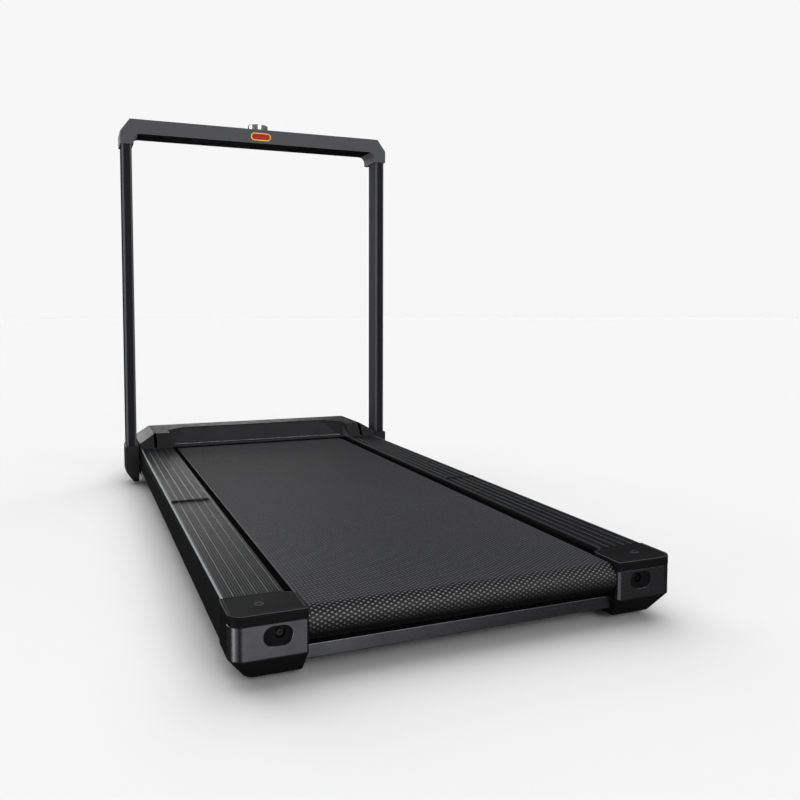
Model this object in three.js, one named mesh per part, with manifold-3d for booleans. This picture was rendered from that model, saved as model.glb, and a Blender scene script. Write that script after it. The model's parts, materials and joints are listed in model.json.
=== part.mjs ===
// Folding treadmill: a low running deck in two halves joined by hinges across its top face, and a
// handrail that swings down beside the deck. Millimetres, +Z up, +Y towards the handrail, +X to the
// right. The origin is the middle of the footprint on the floor.
import * as THREE from 'three';
import { ConvexGeometry } from 'three/addons/geometries/ConvexGeometry.js';
import { mergeVertices } from 'three/addons/utils/BufferGeometryUtils.js';
import Module from 'manifold-3d';

const wasm = await Module();
wasm.setup();

// ---- Driving dimensions -------------------------------------------------------------------------
const GAP = 0.3; // clearance between pieces that touch
const LENGTH = 1390; // rear end caps to the nose of the hood
const DECK_HALF = 330; // half the width of the deck
const COVER_INNER = 246; // inner edge of the rail covers
const TOP = 93; // top face of the rail covers
const BELT_TOP = 87.5; // running surface
const BELT_HALF = 231; // half the width of the running belt
const BELT_THICK = 1.8;
const FOLD_Y = 590; // hinge line between the two halves of the deck
const HOOD_Y = 1186; // where the hood starts on the rail covers
const HOOD_TOP = 129;

const ROLLER_RADIUS = 19.9;
const ROLLER_Z = BELT_TOP - BELT_THICK - GAP - ROLLER_RADIUS;
const REAR_ROLLER_Y = 26;
const FRONT_ROLLER_Y = 1262;
const ROLLER_HALF = 227;
const AXLE_RADIUS = 6;
const AXLE_HALF = 286;
const AXLE_SLOT_HALF = 11; // the slot lets the axle be drawn back
const AXLE_SLOT_RISE = AXLE_RADIUS + 1;
const BOARD_THICK = 18;
const BOARD_TOP = BELT_TOP - BELT_THICK - GAP;
const BOARD_HALF = 257;

const FRAME_INNER = 262; // steel side tube, inner face
const FRAME_OUTER = 312;
const FRAME_BOTTOM = 30;
const FRAME_TOP = 82;
const FRAME_WALL = 2.5;
const FRAME_REAR_Y = 14;
const FRAME_FRONT_Y = 1322;
const COVER_WALL = 3;
const SKIRT_CORNER_Z = 40; // the outer wall turns in below this height
const SKIRT_BOTTOM_Z = 18;
const SKIRT_INSET = 20;

const CAP_DEPTH = 66; // end cap, front to back
const CAP_INNER = 232; // the cap reaches further in than the rail cover
const CAP_BOTTOM = 8;
const CAP_CORNER = 18; // radius of the cap's outer corner
const CAP_WALL = 4;
const PLATE_LOW = 37;
const PLATE_HIGH = 79;
const PLATE_THICK = 1.6;
const TENSION_X = 271;
const CROSS_BAR_Y = 20;
const CROSS_BAR_LOW = 19.5;
const CROSS_BAR_HIGH = 38;
const CROSS_BAR_DEPTH = 24;

const HINGE_Z = TOP + 0.6;
const HINGE_BARREL = 2.6;
const HINGE_PIN = 1.1;
const HINGE_LEAF = 1.2;
const HINGE_START = 254;
const HINGE_KNUCKLES = 5;
const KNUCKLE_LENGTH = 14;

const PIVOT_Y = 1228; // handrail pivot
const PIVOT_Z = 52;
const PIVOT_RADIUS = 8;
const ARM_TIP_RADIUS = 50; // rounded foot of each handrail arm, about the pivot
const TUBE_OUTER = 363.5;
const TUBE_WIDTH = 26;
const TUBE_DEPTH = 60;
const TUBE_WALL = 2;
const TUBE_BOTTOM = 73;
const TUBE_TOP = 906;
const TUBE_REAR_Y = 1198; // the face turned to the runner
const SOCKET_TOP = 102;
const SOCKET_WALL = 2.5;
const BAR_TOP = 946.5;
const BAR_BOTTOM = 910;
const BAR_DEPTH = 84;
const BAR_WALL = 3;
const SLEEVE_BOTTOM = 883;

const KNOB_RADIUS = 29;
const KNOB_HEIGHT = 16;
const KNOB_Y = 1240;
const KNOB_TRAVEL = 2;
const KNOB_WALL = 3.5;
const KNOB_SHAFT_RADIUS = 4;
const KEY_Z = 927;
const KEY_HALF = 28;
const KEY_RADIUS = 10.5;
const KEY_DEPTH = 5;
const KNOB_HOLE_RADIUS = 9;

const MOTOR_Y = 1335;
const MOTOR_Z = 66;
const MOTOR_RADIUS = 34;
const MOTOR_BORE = 31;
const MOTOR_SHAFT_HOLE = 6.5;
const ROTOR_RADIUS = 28;
const SHAFT_RADIUS = 6;
const MOTOR_LOW_X = 96;
const MOTOR_HIGH_X = 222;
const PULLEY_X = 244; // middle of the drive belt
const PULLEY_WIDTH = 14;
const ROLLER_PULLEY_RADIUS = 27;
const PULLEY_HUB_RADIUS = 13;
const MOTOR_PULLEY_RADIUS = 14;
const DRIVE_BELT_THICK = 2.4;

const WHEEL_RADIUS = 22;
const WHEEL_X = 296;
const WHEEL_Y = 1352;
const WHEEL_Z = 25;
const WHEEL_AXLE = 4;
const INLET_X = -210;
const SWITCH_X = -180;
const PORT_Z = 62;
const MODULE_LOW_X = INLET_X - 15;
const MODULE_HIGH_X = SWITCH_X + 11;
const MODULE_HALF_Z = 11;

// Decks and tension bolts
const BOARD_REAR_Y = 70;
const BOARD_FRONT_Y = 1232;
const TENSION_BOLT_RADIUS = 3.6;
const TENSION_BOLT_END_Y = 58;
const BOLT_HEAD_RADIUS = 5.2;
const BOLT_HEAD_DEPTH = 3.2;

// Rail covers
const HINGE_END = HINGE_START + HINGE_KNUCKLES * KNUCKLE_LENGTH;
const SEAM_HALF = 0.8;
const COVER_FRONT_Y = 1199;

// Fold hinges
const LEAF_LOW = 46;

// Rear end caps
const CAP_STEP_Y = 56; // the inner side steps back to the rail cover's edge
const POCKET_FLOOR_Y = 10;
const POCKET_RADIUS = 11.4;
const POCKET_HALF = 6;
const POCKET_Z = 63.2;
const SHOE_INNER = 235; // the cap's foot tapers to these limits
const SHOE_OUTER = 309;
const SHOE_REAR_Y = 18.6;

// Hood and base pan
const HOOD_BASE = TOP + 0.4;
const HOOD_END_Z = 106; // the ends slope down to this height
const HOOD_TOP_HALF = 292;
const HOOD_SLOPE_Y = 28; // depth of the steep face turned to the runner
const SLOT_LOW_X = 286; // a slot in each end block's face
const SLOT_HIGH_X = 294;
const SLOT_DEPTH = 12;
const RECESS_TURN_Y = 1268; // where the recess starts to narrow
const HOOD_WALL = 3;
const HOOD_SKIRT_Y = 1200;
const HOOD_SKIRT_Z = 24;
const RECESS_FLOOR_Y = 1225;
const RECESS_TOP_Y = 1305;
const RECESS_TOP_Z = 126;
const RECESS_HALF = 240;
const RECESS_TOP_HALF = 204;
const PAN_HIGH = FRAME_BOTTOM - GAP;
const PAN_LOW = PAN_HIGH - 3;
const WELL_HALF = 12.5;
const CRADLE_INSET = 20;
const CRADLE_HALF = 26;
const CRADLE_DROP = 18; // the cradle's top, below the motor's axis

// Drive
const ROCKER_PIVOT = LENGTH - 6;

// Transport wheels
const WHEEL_HALF = 10;
const WHEEL_BORE = WHEEL_AXLE + 0.5;

// Handrail
const ARM_INNER = 333;
const ARM_OUTER = 366;
const ARM_REAR_Y = 1192;
const ARM_FRONT_Y = 1264;
const ARM_CHAMFER_X = 344;
const ARM_CHAMFER_Z = 36;
const BAR_CHAMFER_X = 342;
const BAR_CHAMFER_Z = 914;
const SLEEVE_INNER = 333;
const BAR_CORNER = 17;
const BAR_REAR_Y = TUBE_REAR_Y - SOCKET_WALL;
const BAR_FRONT_Y = BAR_REAR_Y + BAR_DEPTH;
const UNDERSIDE_HALF = SLEEVE_INNER - BAR_CORNER - 1;

// Controls on the crossbar
const SHAFT_TOP = BAR_TOP + KNOB_TRAVEL + GAP + 10;
const KNOB_BASE = BAR_TOP + KNOB_TRAVEL + GAP;
const KEY_RIM = 3.2;

// ---- Materials ----------------------------------------------------------------------------------
const finish = (color, roughness, metalness) =>
  new THREE.MeshStandardMaterial({ color, roughness, metalness });
const coverPlastic = finish(0x3a3b3e, 0.55, 0);
const blackPlastic = finish(0x141416, 0.5, 0);
const glossPlastic = finish(0x101113, 0.15, 0);
const graphiteMetal = finish(0x4a4b4f, 0.35, 0.8);
const framePaint = finish(0x1b1c1e, 0.5, 0.4);
const tubePaint = finish(0x17181a, 0.32, 0.5);
const bareSteel = finish(0x9a9ca0, 0.3, 1);
const chrome = finish(0xd0d2d6, 0.08, 1);
const rubber = finish(0x0d0d0e, 0.85, 0);
const beltRubber = finish(0x2a2b2e, 0.7, 0);
const boardFace = finish(0x1c1b1a, 0.6, 0);
const castMetal = finish(0x8b8e92, 0.45, 0.9);
const yellowPlastic = finish(0xe6b51e, 0.4, 0);
const redPlastic = finish(0xc4161c, 0.35, 0);

// ---- Solids -------------------------------------------------------------------------------------
function toSolid(geometry) {
  const bare = geometry.clone();
  bare.deleteAttribute('normal');
  bare.deleteAttribute('uv');
  const merged = mergeVertices(bare, 1e-4);
  return new wasm.Manifold(new wasm.Mesh({
    numProp: 3,
    vertProperties: new Float32Array(merged.attributes.position.array),
    triVerts: new Uint32Array(merged.index.array),
  }));
}

function toGeometry(solid) {
  const mesh = solid.getMesh();
  const geometry = new THREE.BufferGeometry();
  geometry.setAttribute('position', new THREE.BufferAttribute(mesh.vertProperties, 3));
  geometry.setIndex(new THREE.BufferAttribute(mesh.triVerts, 1));
  return geometry;
}

function join(first, ...others) {
  return toGeometry(others.reduce((sum, other) => sum.add(toSolid(other)), toSolid(first)));
}

function cut(body, ...tools) {
  return toGeometry(tools.reduce((left, tool) => left.subtract(toSolid(tool)), toSolid(body)));
}

function overlap(first, second) {
  return toGeometry(toSolid(first).intersect(toSolid(second)));
}

// A box between two opposite corners.
function block(x1, x2, y1, y2, z1, z2) {
  const geometry = new THREE.BoxGeometry(x2 - x1, y2 - y1, z2 - z1);
  return geometry.translate((x1 + x2) / 2, (y1 + y2) / 2, (z1 + z2) / 2);
}

function extrude(shape, length, basis) {
  const geometry = new THREE.ExtrudeGeometry(shape, {
    depth: length,
    bevelEnabled: false,
    curveSegments: 6,
  });
  return geometry.applyMatrix4(basis);
}

const shapeOf = (points) => new THREE.Shape(points.map(([a, b]) => new THREE.Vector2(a, b)));
const axes = (x, y, z) => new THREE.Matrix4().makeBasis(
  new THREE.Vector3(...x),
  new THREE.Vector3(...y),
  new THREE.Vector3(...z),
);

// Prisms: an outline in (Y, Z) run along X, in (X, Z) run along Y, and in (X, Y) run along Z.
function prismX(outline, x1, x2) {
  const basis = axes([0, 1, 0], [0, 0, 1], [1, 0, 0]);
  return extrude(shapeOf(outline), x2 - x1, basis).translate(x1, 0, 0);
}

function prismY(outline, y1, y2) {
  const turned = outline.map(([x, z]) => [z, x]);
  const basis = axes([0, 0, 1], [1, 0, 0], [0, 1, 0]);
  return extrude(shapeOf(turned), y2 - y1, basis).translate(0, y1, 0);
}

function prismZ(outline, z1, z2) {
  return extrude(shapeOf(outline), z2 - z1, new THREE.Matrix4()).translate(0, 0, z1);
}

// Round bars along X, Y and Z.
function roundX(radius, x1, x2, y, z, sides = 32) {
  const geometry = new THREE.CylinderGeometry(radius, radius, x2 - x1, sides);
  return geometry.rotateZ(Math.PI / 2).translate((x1 + x2) / 2, y, z);
}

function roundY(radius, x, y1, y2, z, sides = 24) {
  const geometry = new THREE.CylinderGeometry(radius, radius, y2 - y1, sides);
  return geometry.translate(x, (y1 + y2) / 2, z);
}

function roundZ(radius, x, y, z1, z2, sides = 32) {
  const geometry = new THREE.CylinderGeometry(radius, radius, z2 - z1, sides);
  return geometry.rotateX(Math.PI / 2).translate(x, y, (z1 + z2) / 2);
}

function hull(points) {
  return new ConvexGeometry(points.map((point) => new THREE.Vector3(...point)));
}

// Points on an arc in a plane, angles in degrees.
function arc(centreA, centreB, radius, from, to, steps) {
  const points = [];
  for (let i = 0; i <= steps; i += 1) {
    const angle = THREE.MathUtils.degToRad(from + ((to - from) * i) / steps);
    points.push([centreA + radius * Math.cos(angle), centreB + radius * Math.sin(angle)]);
  }
  return points;
}

// A copy mirrored to the left side, with its faces turned the right way out again.
function mirrored(geometry) {
  const copy = geometry.clone().scale(-1, 1, 1);
  if (!copy.index) {
    return mirrored(mergeVertices(copy.scale(-1, 1, 1)));
  }
  const index = copy.index.array;
  for (let i = 0; i < index.length; i += 3) {
    [index[i + 1], index[i + 2]] = [index[i + 2], index[i + 1]];
  }
  return copy;
}

const treadmill = new THREE.Group();
treadmill.position.y = -LENGTH / 2;

function add(name, geometry, material) {
  const mesh = new THREE.Mesh(geometry, material);
  mesh.name = name;
  treadmill.add(mesh);
}

// A right-hand piece and its mirror image.
function addPair(name, geometry, material) {
  add(`${name}_right`, geometry, material);
  add(`${name}_left`, mirrored(geometry), material);
}

// ---- Steel frame --------------------------------------------------------------------------------
function sideFrame(y1, y2) {
  const outside = block(FRAME_INNER, FRAME_OUTER, y1, y2, FRAME_BOTTOM, FRAME_TOP);
  const inside = block(
    FRAME_INNER + FRAME_WALL,
    FRAME_OUTER - FRAME_WALL,
    y1 - 1,
    y2 + 1,
    FRAME_BOTTOM + FRAME_WALL,
    FRAME_TOP - FRAME_WALL,
  );
  return cut(outside, inside);
}

// The slot in the inner wall that an axle end slides in.
function axleSlot(y) {
  return block(
    FRAME_INNER - 1,
    FRAME_INNER + FRAME_WALL + 2,
    y - AXLE_SLOT_HALF,
    y + AXLE_SLOT_HALF,
    ROLLER_Z - AXLE_SLOT_RISE,
    ROLLER_Z + AXLE_SLOT_RISE,
  );
}

const pivotBore = roundX(PIVOT_RADIUS + GAP, FRAME_OUTER - 6, FRAME_OUTER + 1, PIVOT_Y, PIVOT_Z);
const leafSpace = HINGE_LEAF + 2 * GAP;
const rearFrame = cut(sideFrame(FRAME_REAR_Y, FOLD_Y - leafSpace), axleSlot(REAR_ROLLER_Y));
const frontFrame = cut(
  sideFrame(FOLD_Y + leafSpace, FRAME_FRONT_Y),
  axleSlot(FRONT_ROLLER_Y),
  pivotBore,
);
addPair('rear_side_frame', rearFrame, framePaint);
addPair('front_side_frame', frontFrame, framePaint);

// A square tube between the side frames, with open ends.
function crossTube(y1, y2, z1, z2, wall) {
  const half = FRAME_INNER - GAP;
  const outside = block(-half, half, y1, y2, z1, z2);
  const inside = block(-half - 1, half + 1, y1 + wall, y2 - wall, z1 + wall, z2 - wall);
  return cut(outside, inside);
}

add(
  'rear_cross_bar',
  crossTube(CROSS_BAR_Y, CROSS_BAR_Y + CROSS_BAR_DEPTH, CROSS_BAR_LOW, CROSS_BAR_HIGH, FRAME_WALL),
  graphiteMetal,
);

// ---- Decks, rollers and running belt ------------------------------------------------------------
function board(y1, y2) {
  return block(-BOARD_HALF, BOARD_HALF, y1, y2, BOARD_TOP - BOARD_THICK, BOARD_TOP);
}
add('rear_deck_board', board(BOARD_REAR_Y, FOLD_Y - leafSpace), boardFace);
add('front_deck_board', board(FOLD_Y + leafSpace, BOARD_FRONT_Y), boardFace);

// A round tube with a crowned face and an open bore for its bearings and axle.
function rollerTube(y) {
  const crown = 0.4;
  const bore = AXLE_RADIUS + 2 * GAP;
  const profile = [
    [bore, -ROLLER_HALF],
    [ROLLER_RADIUS - crown, -ROLLER_HALF],
    [ROLLER_RADIUS, 0],
    [ROLLER_RADIUS - crown, ROLLER_HALF],
    [bore, ROLLER_HALF],
    [bore, -ROLLER_HALF],
  ].map(([radius, along]) => new THREE.Vector2(radius, along));
  return new THREE.LatheGeometry(profile, 32).rotateZ(-Math.PI / 2).translate(0, y, ROLLER_Z);
}
add('rear_roller', rollerTube(REAR_ROLLER_Y), bareSteel);
add('front_roller', rollerTube(FRONT_ROLLER_Y), bareSteel);

const axleBar = (y) => roundX(AXLE_RADIUS, -AXLE_HALF, AXLE_HALF, y, ROLLER_Z, 20);
const tensionHole = (x) => roundY(
  TENSION_BOLT_RADIUS + GAP,
  x,
  REAR_ROLLER_Y - 10,
  REAR_ROLLER_Y + 10,
  ROLLER_Z,
  12,
);
add(
  'rear_roller_axle',
  cut(axleBar(REAR_ROLLER_Y), tensionHole(TENSION_X), tensionHole(-TENSION_X)),
  bareSteel,
);
add('front_roller_axle', axleBar(FRONT_ROLLER_Y), bareSteel);

// Half of the endless belt: along the top, round one roller and back underneath.
function beltHalf(rollerY, foldEnd) {
  const side = Math.sign(rollerY - foldEnd);
  const inner = ROLLER_RADIUS + GAP;
  const outer = inner + BELT_THICK;
  const steps = 14;
  const from = 90;
  const to = 90 - 180 * side;
  const outline = [
    [foldEnd, ROLLER_Z + outer],
    ...arc(rollerY, ROLLER_Z, outer, from, to, steps),
    [foldEnd, ROLLER_Z - outer],
    [foldEnd, ROLLER_Z - inner],
    ...arc(rollerY, ROLLER_Z, inner, to, from, steps),
    [foldEnd, ROLLER_Z + inner],
  ];
  return prismX(outline, -BELT_HALF, BELT_HALF);
}
add('running_belt_rear', beltHalf(REAR_ROLLER_Y, FOLD_Y - GAP), beltRubber);
add('running_belt_front', beltHalf(FRONT_ROLLER_Y, FOLD_Y + GAP), beltRubber);

// ---- Rail covers --------------------------------------------------------------------------------
const coverOutline = [
  [COVER_INNER, BOARD_TOP + 1],
  [COVER_INNER, TOP],
  [DECK_HALF - 3, TOP],
  [DECK_HALF, TOP - 3],
  [DECK_HALF, SKIRT_CORNER_Z],
  [DECK_HALF - SKIRT_INSET, SKIRT_BOTTOM_Z],
  [DECK_HALF - SKIRT_INSET - 2.2, SKIRT_BOTTOM_Z + 2],
  [DECK_HALF - COVER_WALL, SKIRT_CORNER_Z + 1.2],
  [DECK_HALF - COVER_WALL, TOP - COVER_WALL - 1.2],
  [DECK_HALF - COVER_WALL - 1.2, TOP - COVER_WALL],
  [COVER_INNER + COVER_WALL, TOP - COVER_WALL],
  [COVER_INNER + COVER_WALL, BOARD_TOP + 1],
];
const hingeNotch = block(
  HINGE_START - 1,
  HINGE_END + 1,
  FOLD_Y - HINGE_BARREL - 0.6,
  FOLD_Y + HINGE_BARREL + 0.6,
  TOP - 4,
  TOP + 1,
);
const rearCover = prismY(coverOutline, CAP_DEPTH + GAP, FOLD_Y - SEAM_HALF);
const frontCover = prismY(coverOutline, FOLD_Y + SEAM_HALF, COVER_FRONT_Y);
addPair('rear_rail_cover', cut(rearCover, hingeNotch), coverPlastic);
addPair('front_rail_cover', cut(frontCover, hingeNotch), coverPlastic);

// ---- Fold hinges --------------------------------------------------------------------------------
// A butt hinge in the seam of each rail: leaves on the end faces of the two frames, barrel on top.
// The pin is pressed into the front leaf's knuckles and turns in the rear leaf's.
function hingeLeaf(front) {
  const side = front ? 1 : -1;
  const near = FOLD_Y + side * GAP;
  const far = near + side * HINGE_LEAF;
  const leaf = block(
    HINGE_START,
    HINGE_END,
    Math.min(near, far),
    Math.max(near, far),
    LEAF_LOW,
    HINGE_Z - 1.4,
  );
  let body = leaf;
  for (let i = 0; i < HINGE_KNUCKLES; i += 1) {
    const start = HINGE_START + i * KNUCKLE_LENGTH;
    const end = start + KNUCKLE_LENGTH;
    const mine = (i % 2 === 0) === front;
    if (mine) {
      body = join(body, roundX(HINGE_BARREL, start + GAP, end - GAP, FOLD_Y, HINGE_Z, 16));
    } else {
      const room = HINGE_BARREL + 0.5;
      const reach = HINGE_BARREL * 3;
      body = cut(
        body,
        block(start, end, FOLD_Y - reach, FOLD_Y + reach, HINGE_Z - room, HINGE_Z + room),
      );
    }
  }
  if (front) {
    return join(body, roundX(HINGE_PIN, HINGE_START + 1, HINGE_END - 1, FOLD_Y, HINGE_Z, 10));
  }
  return cut(body, roundX(HINGE_PIN + 0.35, HINGE_START - 1, HINGE_END + 1, FOLD_Y, HINGE_Z, 12));
}
addPair('fold_hinge_front', hingeLeaf(true), framePaint);
addPair('fold_hinge_rear', hingeLeaf(false), framePaint);

// ---- Rear end caps ------------------------------------------------------------------------------
// The cap's outline seen from above, drawn inset by a margin on its rear and outer sides.
function capOutline(margin, inner = CAP_INNER, front = CAP_DEPTH) {
  const edge = DECK_HALF - margin;
  const radius = CAP_CORNER - margin;
  return [
    [inner, margin],
    ...arc(edge - radius, margin + radius, radius, -90, 0, 6),
    [edge, front],
    [COVER_INNER, front],
    [inner, CAP_STEP_Y],
  ];
}

// The long round pocket in which the tension bolt's head sits.
function boltPocket(radius) {
  return [
    ...arc(TENSION_X + POCKET_HALF, POCKET_Z, radius, -90, 90, 10),
    ...arc(TENSION_X - POCKET_HALF, POCKET_Z, radius, 90, 270, 10),
  ];
}

function endCap() {
  const recess = PLATE_THICK + GAP;
  const lip = prismZ(capOutline(0), PLATE_HIGH, TOP);
  const middle = prismZ(capOutline(recess), PLATE_LOW - 1, PLATE_HIGH + 1);
  const shoeTop = capOutline(0).map(([x, y]) => [x, y, PLATE_LOW]);
  const shoeBottom = [
    [SHOE_INNER, SHOE_REAR_Y, CAP_BOTTOM],
    [SHOE_OUTER, SHOE_REAR_Y, CAP_BOTTOM],
    [SHOE_OUTER, CAP_DEPTH, CAP_BOTTOM],
    [COVER_INNER, CAP_DEPTH, CAP_BOTTOM],
    [SHOE_INNER, CAP_STEP_Y, CAP_BOTTOM],
  ];
  const shoe = hull([...shoeTop, ...shoeBottom]);
  const body = join(lip, middle, shoe);
  const cavity = block(
    CAP_INNER + CAP_WALL,
    FRAME_OUTER + 3,
    POCKET_FLOOR_Y + CAP_WALL - GAP,
    CAP_DEPTH + 1,
    FRAME_BOTTOM - 1,
    TOP - COVER_WALL,
  );
  const barChannel = block(
    CAP_INNER - 1,
    FRAME_INNER + 1,
    CROSS_BAR_Y - GAP,
    CROSS_BAR_Y + CROSS_BAR_DEPTH + GAP,
    CROSS_BAR_LOW - GAP,
    CROSS_BAR_HIGH + GAP,
  );
  const axleWindow = block(
    CAP_INNER - 1,
    CAP_INNER + CAP_WALL + 1,
    REAR_ROLLER_Y - AXLE_SLOT_HALF - 1,
    REAR_ROLLER_Y + AXLE_SLOT_HALF + 1,
    ROLLER_Z - AXLE_SLOT_RISE,
    ROLLER_Z + AXLE_SLOT_RISE,
  );
  const boltHole = roundY(
    TENSION_BOLT_RADIUS + 2 * GAP,
    TENSION_X,
    0,
    POCKET_FLOOR_Y + CAP_WALL,
    ROLLER_Z,
    16,
  );
  const pocket = prismY(boltPocket(POCKET_RADIUS), -1, POCKET_FLOOR_Y);
  return cut(body, cavity, barChannel, axleWindow, pocket, boltHole);
}
addPair('end_cap', endCap(), blackPlastic);

// A metal plate wrapped round the outer corner, with a long round opening for the tension bolt.
function endPlate() {
  const outside = capOutline(0.2, CAP_INNER, CAP_CORNER);
  const inside = capOutline(0.2 + PLATE_THICK, CAP_INNER, CAP_CORNER).slice(0, -3);
  const rim = outside.slice(0, -3);
  const outline = [...rim, ...inside.reverse()];
  const plate = prismZ(outline, PLATE_LOW + GAP, PLATE_HIGH - GAP);
  return cut(plate, prismY(boltPocket(POCKET_RADIUS + 0.6), -1, PLATE_THICK + 1));
}
addPair('end_plate', endPlate(), graphiteMetal);

// A cap screw that draws the rear axle back to tension the belt.
const headFrontY = POCKET_FLOOR_Y - GAP;
const tensionBolt = join(
  roundY(BOLT_HEAD_RADIUS, TENSION_X, headFrontY - BOLT_HEAD_DEPTH, headFrontY, ROLLER_Z),
  roundY(TENSION_BOLT_RADIUS, TENSION_X, headFrontY - 1, TENSION_BOLT_END_Y, ROLLER_Z, 12),
);
addPair('belt_tension_bolt', tensionBolt, bareSteel);

// ---- Feet ---------------------------------------------------------------------------------------
const pad = (x1, x2, y1, y2, top) => hull([
  [x1, y1, top], [x2, y1, top], [x1, y2, top], [x2, y2, top],
  [x1 + 2, y1 + 2, 0], [x2 - 2, y1 + 2, 0], [x1 + 2, y2 - 2, 0], [x2 - 2, y2 - 2, 0],
]);
addPair('rear_foot', pad(250, 298, 38, 63, CAP_BOTTOM - GAP), rubber);
addPair('middle_foot', pad(270, 304, 604, 650, FRAME_BOTTOM - GAP), rubber);

// ---- Hood over the motor ------------------------------------------------------------------------

// The hood's outside, inset all round by a margin.
function hoodUpper(margin) {
  const base = HOOD_BASE - (margin ? 3 : 0);
  const side = DECK_HALF - margin;
  const rear = HOOD_Y + margin * 1.8;
  const nose = LENGTH - margin;
  const slopeAt = (z) => rear + ((z - HOOD_BASE) / (HOOD_TOP - HOOD_BASE)) * HOOD_SLOPE_Y;
  const points = [];
  for (const sign of [-1, 1]) {
    points.push([sign * side, rear, base]);
    points.push([sign * (side - 14), nose, base]);
    points.push([sign * side, nose - 22, base]);
    points.push([sign * side, slopeAt(HOOD_END_Z), HOOD_END_Z - margin / 2]);
    points.push([sign * side, nose - 26, HOOD_END_Z - margin / 2]);
    points.push([sign * (side - 14), nose - 3, HOOD_END_Z - margin / 2]);
    points.push([sign * (HOOD_TOP_HALF - margin), slopeAt(HOOD_TOP), HOOD_TOP - margin]);
    points.push([sign * (HOOD_TOP_HALF - margin), nose - 20, HOOD_TOP - margin]);
  }
  return hull(points);
}

function hoodSkirt(margin) {
  const side = DECK_HALF - margin;
  const nose = LENGTH - margin;
  const rear = HOOD_SKIRT_Y - (margin ? 1 : 0);
  const outline = [
    [-side, rear],
    [side, rear],
    [side, nose - 22],
    [side - 14, nose],
    [-side + 14, nose],
    [-side, nose - 22],
  ];
  return prismZ(outline, HOOD_SKIRT_Z - (margin ? 1 : 0), HOOD_BASE + 1);
}

// The slanted recess that faces the runner, from its floor up.
function hoodRecess(drop, spread) {
  const points = [];
  for (const sign of [-1, 1]) {
    const low = sign * (RECESS_HALF + spread);
    const high = sign * (RECESS_TOP_HALF + spread);
    points.push([low, RECESS_FLOOR_Y, TOP - drop], [high, RECESS_TOP_Y + drop, RECESS_TOP_Z - drop]);
    points.push([sign * (COVER_INNER + 5 + spread), HOOD_Y - 2, TOP - drop]);
    points.push([sign * (COVER_INNER + 5 + spread), RECESS_TURN_Y, HOOD_TOP + 2]);
    points.push([high, RECESS_TOP_Y + drop, HOOD_TOP + 2]);
    points.push([sign * (COVER_INNER + 5 + spread), HOOD_Y - 2, HOOD_TOP + 2]);
  }
  return hull(points);
}

function motorHood() {
  const outside = join(hoodUpper(0), hoodSkirt(0));
  const inside = join(hoodUpper(HOOD_WALL), hoodSkirt(HOOD_WALL));
  const shell = cut(outside, inside);
  const tub = overlap(hoodRecess(HOOD_WALL, HOOD_WALL), outside);
  const beltWay = block(-BELT_HALF - 3, BELT_HALF + 3, HOOD_Y - 5, RECESS_FLOOR_Y - 2, 40, 91);
  const sealRoom = block(-COVER_INNER - 5, COVER_INNER + 5, HOOD_Y - 5, HOOD_SKIRT_Y + 5, 30, TOP);
  const slotSide = [
    [HOOD_Y - 2, HOOD_BASE + 1.5],
    [HOOD_Y + SLOT_DEPTH, HOOD_BASE + 1.5],
    [HOOD_Y + HOOD_SLOPE_Y + SLOT_DEPTH, HOOD_TOP + 1],
    [HOOD_Y + HOOD_SLOPE_Y - 2, HOOD_TOP + 1],
  ];
  const pivotHole = roundX(PIVOT_RADIUS + 1, -DECK_HALF - 1, DECK_HALF + 1, PIVOT_Y, PIVOT_Z);
  const body = cut(
    join(shell, tub),
    hoodRecess(0, 0),
    beltWay,
    sealRoom,
    prismX(slotSide, SLOT_LOW_X, SLOT_HIGH_X),
    prismX(slotSide, -SLOT_HIGH_X, -SLOT_LOW_X),
    block(
      MODULE_LOW_X - GAP,
      MODULE_HIGH_X + GAP,
      LENGTH - 8,
      LENGTH + 1,
      PORT_Z - MODULE_HALF_Z - GAP,
      PORT_Z + MODULE_HALF_Z + GAP,
    ),
  );
  return cut(body, pivotHole);
}
add('motor_hood', motorHood(), coverPlastic);

// The gloss panel on the recess floor, and the bright strip along its lower edge.
const slantAngle = Math.atan2(RECESS_TOP_Z - TOP, RECESS_TOP_Y - RECESS_FLOOR_Y);
function onSlant(along, lift) {
  return [
    RECESS_FLOOR_Y + along * Math.cos(slantAngle) - lift * Math.sin(slantAngle),
    TOP + along * Math.sin(slantAngle) + lift * Math.cos(slantAngle),
  ];
}
const slantLength = Math.hypot(RECESS_TOP_Z - TOP, RECESS_TOP_Y - RECESS_FLOOR_Y);
function slantSlab(from, to, halfFrom, halfTo, low, high) {
  const points = [];
  for (const [along, half] of [[from, halfFrom], [to, halfTo]]) {
    for (const lift of [low, high]) {
      for (const sign of [-1, 1]) {
        points.push([sign * half, ...onSlant(along, lift)]);
      }
    }
  }
  return hull(points);
}
add(
  'hood_panel',
  slantSlab(5, slantLength - 4, RECESS_HALF - 5, RECESS_TOP_HALF - 1, 0.4, 2),
  glossPlastic,
);
add('hood_trim_strip', slantSlab(0.5, 4.4, RECESS_HALF - 2, RECESS_HALF - 4, 0.4, 3), bareSteel);

const panOutline = [
  [-324, 1206],
  [324, 1206],
  [324, 1364],
  [310, 1384],
  [-310, 1384],
  [-324, 1364],
];
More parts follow.
